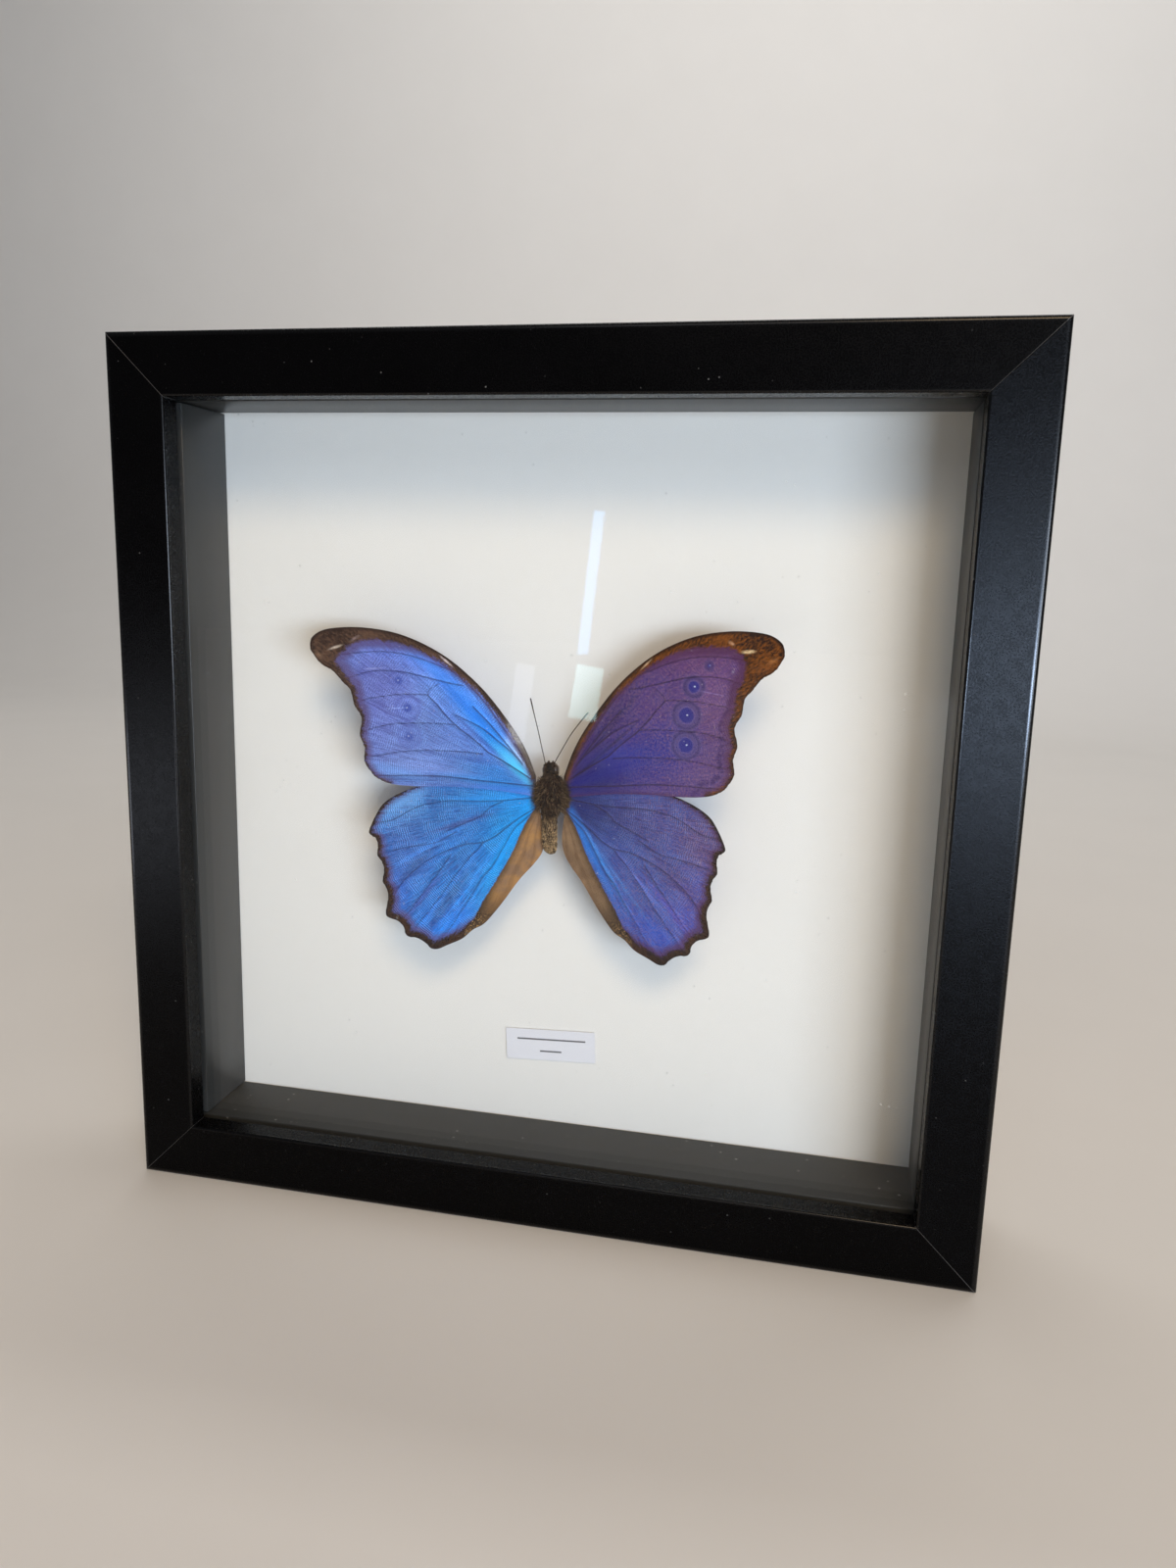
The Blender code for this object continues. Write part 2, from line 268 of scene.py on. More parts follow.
def pick_edges(thing, wanted):
    """In edit mode, select the edges whose middle and direction pass the test."""
    bpy.ops.mesh.select_all(action="DESELECT")
    bpy.ops.mesh.select_mode(type="EDGE")
    mesh = bmesh.from_edit_mesh(thing.data)
    for edge in mesh.edges:
        start, end = (vertex.co for vertex in edge.verts)
        edge.select_set(wanted((start + end) / 2, (end - start).normalized()))
    bmesh.update_edit_mesh(thing.data)


def cover(thing, finish):
    """Give a piece one finish all over."""
    thing.data.materials.clear()
    thing.data.materials.append(finish.material)


def wear(thing, finish, node):
    """Give a piece its finish, hang it from the root, and hide the CAD node it stands for."""
    cover(thing, finish)
    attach(thing, "root")
    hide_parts(node)


def model_rail(name):
    """The bottom rail: a bar, its lip drawn up along the front, and both ends sawn at 45 degrees."""
    deselect()
    bpy.ops.mesh.primitive_cube_add(size=1, location=(MIDDLE.x, MIDDLE.y, WALL / 2))
    rail = bpy.context.object
    rail.name = name
    rail.scale = (SIDE, DEPTH, WALL)
    settle(rail)
    bpy.ops.object.mode_set(mode="EDIT")
    bpy.ops.mesh.select_all(action="SELECT")
    bpy.ops.mesh.bisect(plane_co=(0, LIP_BACK, 0), plane_no=(0, 1, 0))
    pick(rail, lambda middle, normal: normal.z > 0.9 and middle.y < LIP_BACK)
    bpy.ops.mesh.extrude_region_move(TRANSFORM_OT_translate={"value": (0, 0, FACE - WALL)})
    for end in (-1, 1):
        bpy.ops.mesh.select_all(action="SELECT")
        corner = (end * (SIDE / 2 - MITRE_JOINT), 0, 0)
        bpy.ops.mesh.bisect(plane_co=corner, plane_no=(end, 0, 1), use_fill=True, clear_outer=True)
    eased = [(FRONT, 0, EDGE_ROUND, 5), (FRONT, FACE, LIP_ROUND, 4), (BACK, 0, LIP_ROUND, 4)]
    for y, z, width, steps in eased:
        corner = Vector((y, z))
        pick_edges(rail, lambda middle, along: abs(along.x) > 0.9 and (middle.yz - corner).length < MM)
        bpy.ops.mesh.bevel(offset=width, segments=steps)
    bpy.ops.object.mode_set(mode="OBJECT")
    modify(rail, "BEVEL", width=0.08 * MM, segments=2, limit_method="ANGLE", angle_limit=math.radians(40))
    bpy.ops.object.shade_smooth_by_angle(angle=math.radians(35))
    modify(rail, "WEIGHTED_NORMAL", keep_sharp=True)
    return rail


def twin(thing, name):
    """A copy of a piece with its own mesh."""
    copy = thing.copy()
    copy.data = thing.data.copy()
    copy.name = name
    bpy.context.scene.collection.objects.link(copy)
    return copy


foil = Finish("black_foil", {"Specular IOR Level": 0.055, "Coat Roughness": 0.16, "Coat IOR": 1.4})
across_frame, into_frame, up_frame = foil.parts(foil.place())
to_mitre = abs(abs(across_frame - MIDDLE.x) - abs(up_frame - MIDDLE.z))
cut_edge = foil.fade(to_mitre, 0.02 * MM, 0.16 * MM, 1.0, 0.0)
grain = foil.noise(0.50 * MM, 4.0, roughness=0.7)
cloud = foil.noise(22 * MM, 3.0)
dust = foil.specks(1.3 * MM, 0.035) * foil.fade(foil.noise(9 * MM), 0.45, 0.7)
black = foil.mix(cloud, (0.0009, 0.0008, 0.0009), (0.0016, 0.0015, 0.0017))
black = foil.mix(cut_edge * 0.55, black, (0.20, 0.19, 0.18))
foil.put("Base Color", foil.mix(dust * 0.35, black, (0.30, 0.30, 0.29)))
from_middle = foil.maths("MAXIMUM", abs(across_frame - MIDDLE.x), abs(up_frame - MIDDLE.z))
worn_edge = foil.fade(from_middle, SIDE / 2 - 1.7 * MM, SIDE / 2 - 1.1 * MM)
lip_edge = foil.fade(from_middle, SIDE / 2 - FACE + 0.9 * MM, SIDE / 2 - FACE + 0.5 * MM)
at_front = foil.fade(into_frame, FRONT + 1.2 * MM, FRONT + 0.4 * MM)
worn_edge = (worn_edge + lip_edge) * at_front * (0.5 + grain)
foil.put("Coat Weight", worn_edge * 0.55)
pores = foil.fade(grain * 0.8 + foil.noise(3.2 * MM, 2.0) * 0.2, 0.34, 0.64)
foil.put("Roughness", 0.13 + pores * 0.17 + cloud * 0.06 + dust * 0.4)
foil.relief(grain + foil.noise(1.6 * MM) * 0.2 - cut_edge * 0.8, 0.05 * MM)

first_rail = model_rail("rail_bottom_wrapped")
rails = {"bottom": first_rail}
for quarter, side in enumerate(("left", "top", "right"), 1):
    rail = twin(first_rail, f"rail_{side}_wrapped")
    turn = Matrix.Rotation(quarter * math.pi / 2, 4, "Y")
    rail.data.transform(Matrix.Translation(MIDDLE) @ turn @ Matrix.Translation(-MIDDLE))
    rails[side] = rail
for side, rail in rails.items():
    wear(rail, foil, f"rail_{side}")


# ---- Spacers: strips of board wrapped in black paper, set edge to edge behind the glass. Dust
# has settled on them, most of all on the bottom one.
def copy_of(node, name):
    """A copy of a CAD piece's mesh with its corners joined, ready to be worked on."""
    piece = twin(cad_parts[node], name)
    piece.parent = None
    for key in list(piece.keys()):
        del piece[key]
    piece.data.materials.clear()
    activate(piece)
    bpy.ops.object.mode_set(mode="EDIT")
    bpy.ops.mesh.select_all(action="SELECT")
    bpy.ops.mesh.remove_doubles(threshold=0.005 * MM)
    bpy.ops.mesh.tris_convert_to_quads()
    bpy.ops.object.mode_set(mode="OBJECT")
    return piece


def ease_edges(piece, width, segments=2):
    modify(piece, "BEVEL", width=width, segments=segments, limit_method="ANGLE", angle_limit=math.radians(35))
    bpy.ops.object.shade_smooth_by_angle(angle=math.radians(40))


board_black = Finish("spacer_board")
fibre = board_black.noise(0.5 * MM, 3.0)
height = board_black.parts(board_black.place())[2]
settled = board_black.fade(height, 18 * MM, 30 * MM, 1.0, 0.25)
dust = board_black.specks(2.6 * MM, 0.22) * board_black.fade(board_black.noise(12 * MM), 0.35, 0.65)
fluff = board_black.specks(0.9 * MM, 0.06) * 0.6
soot = board_black.mix(fibre, (0.020, 0.020, 0.020), (0.034, 0.034, 0.033))
board_black.put("Base Color", board_black.mix((dust + fluff) * settled * 0.38, soot, (0.42, 0.41, 0.39)))
board_black.put("Roughness", 0.26 + settled * 0.34 + fibre * 0.12)
board_black.relief(fibre, 0.03 * MM)
for side in ("bottom", "left", "top", "right"):
    spacer = copy_of(f"spacer_{side}", f"spacer_{side}_strip")
    ease_edges(spacer, 0.25 * MM)
    wear(spacer, board_black, f"spacer_{side}")


# ---- Mount card: one sheet of thick, uncoated, warm white card, with a fine tooth. It is the back
# wall of the box, and the label and the foam block are glued to it.
card = Finish("mount_card", {"Specular IOR Level": 0.2})
tooth = card.noise(0.35 * MM, 4.0, roughness=0.6)
mottle = card.noise(30 * MM, 2.0)
flaw = card.specks(1.6 * MM, 0.02) * card.fade(card.noise(9 * MM), 0.45, 0.6)
cream = card.mix(mottle, (0.800, 0.790, 0.765), (0.830, 0.822, 0.800))
cream = card.mix(tooth * 0.25, cream, (0.74, 0.725, 0.70))
card.put("Base Color", card.mix(flaw * 0.35, cream, (0.45, 0.42, 0.38)))
card.put("Roughness", 0.84 + tooth * 0.12)
card.relief(tooth, 0.04 * MM)
cover(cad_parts["mount_card"], card)


# ---- Glass: a clear pane held against the lip. It mirrors a little of the room, more of it where it
# is seen aslant, lets the rest of the light through, and carries a few specks of dust.
GLARE = 0.0143
glass = Finish("pane_glass")
clear = glass.node("ShaderNodeBsdfTransparent", inputs={"Color": (0.985, 0.992, 0.988)})
gloss = glass.node("ShaderNodeBsdfGlossy", inputs={"Color": (1, 1, 1), "Roughness": 0.02})
grazing = glass.node("ShaderNodeLayerWeight", inputs={"Blend": 0.5}, out="Facing")
mirror = grazing ** 5.0 * (1 - GLARE) + GLARE
pane = glass.node("ShaderNodeMixShader", inputs={0: mirror, 1: clear, 2: gloss})
speck = glass.node("ShaderNodeBsdfDiffuse", inputs={"Color": (0.75, 0.74, 0.72)})
dust = glass.specks(2.2 * MM, 0.06) * glass.fade(glass.noise(14 * MM), 0.45, 0.7)
dusty = glass.node("ShaderNodeMixShader", inputs={0: dust * 0.22, 1: pane, 2: speck})
plug_in(glass.tree, glass.tree.nodes["Material Output"].inputs["Surface"], dusty)
cover(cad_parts["glass_pane"], glass)


# ---- Wings: four dried wings, each a thin stiff membrane held by ribs and covered with overlapping
# scales. The upper scales throw back blue light, the borders are brown, and the hind wings lie a
# little under the fore wings.
SPECIMEN_PLACE = (MIDDLE.x - 1.2 * MM, FRONT + 20.2 * MM, MIDDLE.z + 0.5 * MM)
SPECIMEN_TURN = math.radians(-1.5)
WING_RISE = math.radians(6)
MEMBRANE = 0.12 * MM
SPECIMEN = Matrix.Translation(SPECIMEN_PLACE) @ Matrix.Rotation(SPECIMEN_TURN, 4, "Y")
SPECIMEN = SPECIMEN @ Matrix.Rotation(math.pi / 2, 4, "X")

# Outlines and ribs, in millimetres out from the body and up toward the head. A rib also has its
# width at the root and at the margin.
FORE_FRONT = [(4.2, 5.2), (7.2, 13), (12, 21), (20, 31.2), (30, 39.8), (41, 45.2), (52, 47.3), (62, 46.9)]
FORE_MARGIN = [(66.6, 44.8), (67.8, 41.8), (66.9, 39.3), (64.7, 36.6), (61.6, 34.7), (58.9, 31.4),
    (57.1, 29.4), (56.2, 25), (54.8, 22.6), (54.3, 20.2), (55.2, 16.4), (54, 12.5), (54.4, 9.2),
    (53.6, 6.7), (50.8, 3.5)]
FORE_REAR = [(47, 2), (40, 1.4), (30, 1.5), (20, 1.1), (10, -0.1), (4.2, -1)]
HIND_FRONT = [(4.2, 0.8), (14, 3.4), (26, 3.6), (36, 1.7), (42.5, -0.5), (47.7, -3.6), (50.4, -7.2)]
HIND_MARGIN = [(52.8, -12.4), (52.3, -13.9), (50.9, -14.9), (50.4, -17), (50.7, -20), (49.5, -21.8),
    (48.8, -24.2), (49.3, -27.8), (48.4, -29.7), (47.8, -32.4), (48.7, -37.9), (47.6, -39.3),
    (45.2, -40.1), (43.5, -41.9), (43, -44), (41.8, -44.9), (39.4, -45.2), (36.8, -46.9), (35.5, -48.3),
    (33.4, -48.4), (30.5, -47)]
HIND_REAR = [(26.2, -44.9), (23, -42), (19.5, -39.8), (15, -34), (10, -26.3), (6.2, -21.4), (4, -17.6),
    (3.3, -13), (4.2, -6)]
HIND_REAR_LEFT = [(26.2, -44.9), (23, -42), (19.5, -39.8), (14.8, -34), (9.4, -26.3), (5.2, -21.4),
    (2.7, -17.6), (2.0, -13), (3.2, -6)]
FORE_RIBS = [
    (0.34, 0.16, [(5.0, 6), (9.6, 13.5), (14.7, 21), (19.8, 28), (24.9, 33), (30, 37), (36.1, 41),
        (40.2, 43.2), (46.3, 45)]),
    (0.34, 0.20, [(5.0, 3.8), (9.6, 6.8), (14.7, 10), (17.8, 11.8), (19.8, 13.7), (22.9, 16.3),
        (24.9, 17.8), (27.4, 20), (30, 22.7), (32, 25.3), (34.1, 27.5), (34.7, 28.5)]),
    (0.18, 0.12, [(19.3, 11.3), (24.9, 11.8), (30, 12), (35.1, 12.1), (40.2, 11.8), (45.3, 11.2),
        (50.4, 10.2), (53.6, 9.8)]),
    (0.18, 0.12, [(27.4, 19.7), (30, 19.9), (35.1, 20), (40.2, 19.9), (45.3, 19.6), (50.4, 18.5),
        (53.8, 17.3)]),
    (0.17, 0.12, [(34.6, 28.2), (38.2, 28.3), (43.3, 28.2), (48.4, 27.5), (52.4, 26.8), (55.3, 25.6)]),
    (0.17, 0.12, [(24.4, 31), (29, 31.8), (35.1, 33.3), (40.2, 34.5), (45.3, 35), (50.4, 34.8),
        (55.5, 33.5), (58.1, 32.5)]),
    (0.17, 0.12, [(22.9, 34), (29, 35.8), (33.1, 37.5), (38.2, 39.2), (43.3, 40.2), (48.4, 40.5),
        (55.5, 40), (60.6, 39.3), (65.7, 39)]),
    (0.16, 0.14, [(34.6, 28.3), (33.6, 30), (31, 31.5)]),
    (0.12, 0.08, [(8, 8.6), (11.6, 13.2), (16.7, 19.5), (21.8, 25)]),
    (0.12, 0.08, [(8, 8.4), (10.6, 11.5), (14.7, 15), (19.8, 19), (26.9, 22.5)]),
    (0.26, 0.14, [(5.0, 2.2), (14.7, 3), (19.8, 3.4), (30, 4.4), (40.2, 4.6), (46.3, 4.4), (51.6, 4.4)])]
HIND_RIBS = [
    (0.20, 0.12, [(5.6, -1.5), (14.8, -2.6), (22, -2.9), (30.2, -3), (38.5, -5), (45.7, -9), (50.8, -10)]),
    (0.14, 0.10, [(13.8, -2.8), (16.9, -4.3), (18.9, -6), (20.5, -7.5), (30.2, -12)]),
    (0.30, 0.14, [(4.5, -4.5), (8.6, -7.2), (12.8, -10.5), (15.8, -13), (19.4, -15), (22, -15.5),
        (25.1, -16), (30.2, -18), (36.4, -21.5), (42.6, -27), (46.7, -33)]),
    (0.18, 0.12, [(19.4, -15), (21, -17), (24.1, -20.5), (28.2, -26), (31.3, -30.5), (35.4, -36),
        (38.5, -40), (41.6, -44)]),
    (0.24, 0.12, [(4.5, -5), (7.6, -8), (10.7, -11), (13.8, -16.5), (16.9, -22), (20, -26), (23, -31),
        (26.1, -36), (29.2, -41), (32.3, -45)]),
    (0.16, 0.12, [(29.2, -19.5), (33.3, -25.5), (37.4, -31), (40.5, -35.5), (43.1, -38.5)]),
    (0.16, 0.12, [(27.2, -12), (33.3, -15.5), (40.5, -17), (46.7, -18.5), (50.3, -19.5)])]
TIP_LINE = [(45, 43.8), (53, 42.8), (57, 39.5), (56.8, 35), (55, 31.5)]
TIP_LINE_LEFT = [(45, 44.3), (53.8, 43.2), (58.5, 40.2), (60.6, 38), (59.4, 35), (57, 31.8)]
TAN_LINE = [(3.5, -4), (5, -5), (8, -10), (10.5, -16), (13, -21), (17, -28), (20, -33), (23, -39),
    (25.5, -42.5)]

# The width of the fore wing's brown border: along the front edge by how far out it is, and along the
# margin by how far up it is.
FRONT_BORDER = ((0, 10, 20, 30, 40, 50, 60), (1.6, 1.5, 1.7, 2.0, 2.5, 4.0, 5.0))
MARGIN_BORDER = ((0, 10, 20, 25, 30, 36), (1.0, 1.1, 1.5, 2.1, 2.6, 4.0))

# How finely the wings are divided: steps between two points of an edge, places across and up a
# wing, and places round a rib.
STEPS = 8
WING_COLUMNS = 171
WING_ROWS = 121
RIB_PLACES = 9


def smooth_line(points, steps=STEPS):
    """A smooth line through the points, with a few steps between each two."""
    ends = np.array([points[0], *points, points[-1]], float)
    run = np.arange(steps)[:, None] / steps
    parts = []
    for a, b, c, d in zip(ends, ends[1:], ends[2:], ends[3:]):
        bend = (2 * a - 5 * b + 4 * c - d) * run ** 2 + (3 * b - a - 3 * c + d) * run ** 3
        parts.append((2 * b + (c - a) * run + bend) / 2)
    return np.concatenate((*parts, ends[-1:]))


def evenly(line, count):
    """A line with its points set evenly along it."""
    run = np.concatenate(([0], np.cumsum(np.linalg.norm(np.diff(line, axis=0), axis=1))))
    stops = np.linspace(0, run[-1], count)
    return np.stack([np.interp(stops, run, line[:, axis]) for axis in range(line.shape[1])], axis=1)


def distance_to(spots, line):
    """How far each spot is from a line of short steps."""
    nearest = np.full(spots.shape[:-1], 1e9)
    for start, end in zip(line, line[1:]):
        step = end - start
        share = np.clip((spots - start) @ step / (step @ step), 0, 1)
        nearest = np.minimum(nearest, np.linalg.norm(spots - start - share[..., None] * step, axis=-1))
    return nearest


def spanned(front, rear, root, margin):
    """A table of places that fills the sheet between four edge lines."""
    u = np.linspace(0, 1, front.shape[0])[None, :, None]
    v = np.linspace(0, 1, root.shape[0])[:, None, None]
    between = (1 - v) * rear[None] + v * front[None] + (1 - u) * root[:, None] + u * margin[:, None]
    corners = (1 - u) * ((1 - v) * rear[0] + v * front[0]) + u * ((1 - v) * rear[-1] + v * front[-1])
    table = between - corners
    for _ in range(40):
        table[1:-1, 1:-1] = (table[:-2, 1:-1] + table[2:, 1:-1] + table[1:-1, :-2] + table[1:-1, 2:]) / 4
    return table


def sheet(name, table, **marks):
    """A sheet of quads laid through a table of places, with a mark of each kind at each place."""
    rows, columns, _ = table.shape
    deselect()
    bpy.ops.mesh.primitive_grid_add(x_subdivisions=columns - 1, y_subdivisions=rows - 1, size=2)
    piece = bpy.context.object
    piece.name = name
    flat = np.empty(len(piece.data.vertices) * 3)
    piece.data.vertices.foreach_get("co", flat)
    flat = (flat.reshape(-1, 3) + 1) / 2
    order = (np.rint(flat[:, 1] * (rows - 1)).astype(int), np.rint(flat[:, 0] * (columns - 1)).astype(int))
    piece.data.vertices.foreach_set("co", table[order].ravel())
    for key, values in marks.items():
        values = values[order]
        kind, field = ("FLOAT_VECTOR", "vector") if values.ndim == 2 else ("FLOAT", "value")
        layer = piece.data.attributes.new(key, kind, "POINT")
        layer.data.foreach_set(field, values.astype(np.float32).ravel())
    piece.data.uv_layers.remove(piece.data.uv_layers[0])
    piece.data.update()
    return piece


def join(first, *others):
    deselect()
    for piece in (first, *others):
        piece.select_set(True)
    bpy.context.view_layer.objects.active = first
    bpy.ops.object.join()
    return first


def tidy_shell(piece, outward=False):
    """Merge the corners that meet, and turn the faces outward if asked."""
    activate(piece)
    bpy.ops.object.mode_set(mode="EDIT")
    bpy.ops.mesh.select_all(action="SELECT")
    bpy.ops.mesh.remove_doubles(threshold=0.0005 * MM)
    if outward:
        bpy.ops.mesh.normals_make_consistent(inside=False)
    bpy.ops.object.mode_set(mode="OBJECT")


class Wing:
    """The plan of one wing: its outline, ribs and brown and tan areas, and how it lies in space."""

    def __init__(self, side, edges, ribs, spread, hind):
        self.side = 1 if side == "right" else -1
        self.spread = spread
        self.hind = hind
        front, margin, rear = edges
        outline = smooth_line(front + margin + rear)
        first = STEPS * len(front)
        second = STEPS * (len(front) + len(margin) - (2 if hind else 0))
        self.front = evenly(outline[:first + 1], WING_COLUMNS)
        self.margin = evenly(outline[first:second + 1], WING_ROWS)[::-1]
        self.rear = evenly(outline[second:], WING_COLUMNS)[::-1]
        self.root = evenly(np.array([outline[-1], outline[0]]), WING_ROWS)
        self.ribs = [(start, end, smooth_line(points)) for start, end, points in ribs]
        jag = np.random.default_rng(4 + hind)
        ragged = jag.normal(0, 0.05, self.margin.shape)
        ragged[:2] = ragged[-2:] = 0
        self.margin = self.margin + ragged
        self.table = spanned(self.front, self.rear, self.root, self.margin)

    def rib_distance(self, plan):
        return np.min([distance_to(plan, line) for _, _, line in self.ribs], axis=0)

    def height(self, plan, near):
        """How far the wing stands above its flat plane: a slight arch, and a ridge at each rib."""
        x, y = plan[..., 0], plan[..., 1]
        arch = 0.35 * np.sin(np.clip(x / 60, 0, 1) * math.pi) - 0.12
        wave = 0.10 * np.sin(x * 0.31 + y * 0.23) * np.clip(x / 30, 0, 1)
        ridge = 0.11 * np.exp(-(near / 0.45) ** 2) - 0.05 * np.exp(-((near - 1.4) / 0.8) ** 2)
        return arch + wave + ridge

    def inside(self, plan, points):
        """How far a place is on the body's side of a line that runs down the wing."""
        line = smooth_line(points)
        nearer = np.where(np.interp(plan[..., 1], line[::-1, 1], line[::-1, 0]) > plan[..., 0], 1, -1)
        return nearer * distance_to(plan, line)

    def marks(self, plan, near, rib):
        """What the scales need to know about a place on the wing, in millimetres and degrees."""
        x, y = plan[..., 0], plan[..., 1]
        root = np.array((3.0, -3.0 if self.hind else 2.0))
        reach = np.hypot(x - root[0], y - root[1])
        angle = np.degrees(np.arctan2(y - root[1], x - root[0]))
        to_front = distance_to(plan, self.front[::2])
        to_margin = distance_to(plan, self.margin[::2])
        to_rear = distance_to(plan, self.rear[::2])
        left = self.side < 0
        if self.hind:
            width = 1.25 + 0.85 * np.clip((-y - 18) / 20, 0, 1)
            front_width = np.interp(x, (28, 45), (-1.0 if left else -0.3, 0.9))
            rear_width = np.where(y < -36, 2.6, 0)
            tan = self.inside(plan, TAN_LINE)
        else:
            width = np.interp(y, *MARGIN_BORDER) * (0.62 if left else 1.0)
            front_width = np.interp(x, *FRONT_BORDER)
            front_width = front_width * (np.interp(x, (35, 55), (1.05, 0.75)) if left else 1.0)
            rear_width = -1.4 if left else -0.4
            tan = np.full(x.shape, -9.0)
        brown = np.maximum(width - to_margin, front_width - to_front)
        brown = np.maximum(brown, rear_width - to_rear)
        if not self.hind:
            tip = -self.inside(plan, TIP_LINE_LEFT if left else TIP_LINE)
            brown = np.maximum(brown, np.where(y > 31.5, tip, -abs(tip)))
        polar = np.stack((reach, angle, near), axis=-1)
        flat = np.stack((x, y, np.full(x.shape, rib)), axis=-1)
        edge = np.stack((to_margin, to_front, to_rear), axis=-1)
        return {"plan": flat, "ray": polar, "edge": edge, "brown": brown, "tan": tan}

    def place(self, plan, height):
        """From the plan of the wing, in millimetres, to its place in the frame."""
        all_over, upward = self.spread
        x = plan[..., 0] * (1 + all_over + upward * plan[..., 1] / 45)
        drop = -1.0 if self.hind else 0.0
        side_way = self.side * (x * math.cos(WING_RISE) - height * math.sin(WING_RISE))
        toward = x * math.sin(WING_RISE) + height * math.cos(WING_RISE) + drop
        local = np.stack((side_way, plan[..., 1], toward), axis=-1) * MM
        turn = np.array(SPECIMEN.to_3x3())
        return local @ turn.T + np.array(SPECIMEN.translation)

    def model(self, name):
        near = self.rib_distance(self.table)
        height = self.height(self.table, near)
        table = self.place(self.table, height)
        membrane = sheet(name, table, **self.marks(self.table, near, 0.0))
        if self.side > 0:
            membrane.data.flip_normals()
        modify(membrane, "SOLIDIFY", thickness=MEMBRANE, offset=-1.0, material_offset=1, use_even_offset=True)
        tubes = [self.model_rib(*rib) for rib in self.ribs]
        return join(membrane, *tubes)

    def model_rib(self, start, end, line):
        """One rib: a tube that thins toward the margin, sunk halfway into the wing."""
        line = evenly(line, max(8, int(len(line) * 0.8)))
        heading = np.gradient(line, axis=0)
        heading /= np.linalg.norm(heading, axis=1)[:, None]
        sideways = np.stack((-heading[:, 1], heading[:, 0]), axis=1)
        radius = np.linspace(start, end, len(line))[:, None] * 0.36
        radius[0] = radius[-1] = 0.02
        turn = np.linspace(0, 2 * math.pi, RIB_PLACES)[None]
        plan = line[:, None] + sideways[:, None] * (radius * np.cos(turn))[..., None]
        centre = np.repeat(line[:, None], RIB_PLACES, axis=1)
        near = np.zeros(centre.shape[:2])
        level = self.height(centre, near) + 0.02 + radius * np.sin(turn)
        table = self.place(plan, level)
        tube = sheet("rib", table, **self.marks(centre, near, 1.0))
        tidy_shell(tube, outward=True)
        return tube


def paint(red, green, blue):
    """A colour as it's seen, turned into the light it gives back."""
    return tuple(((part + 0.055) / 1.055) ** 2.4 if part > 0.04 else part / 12.92
                 for part in (red, green, blue))


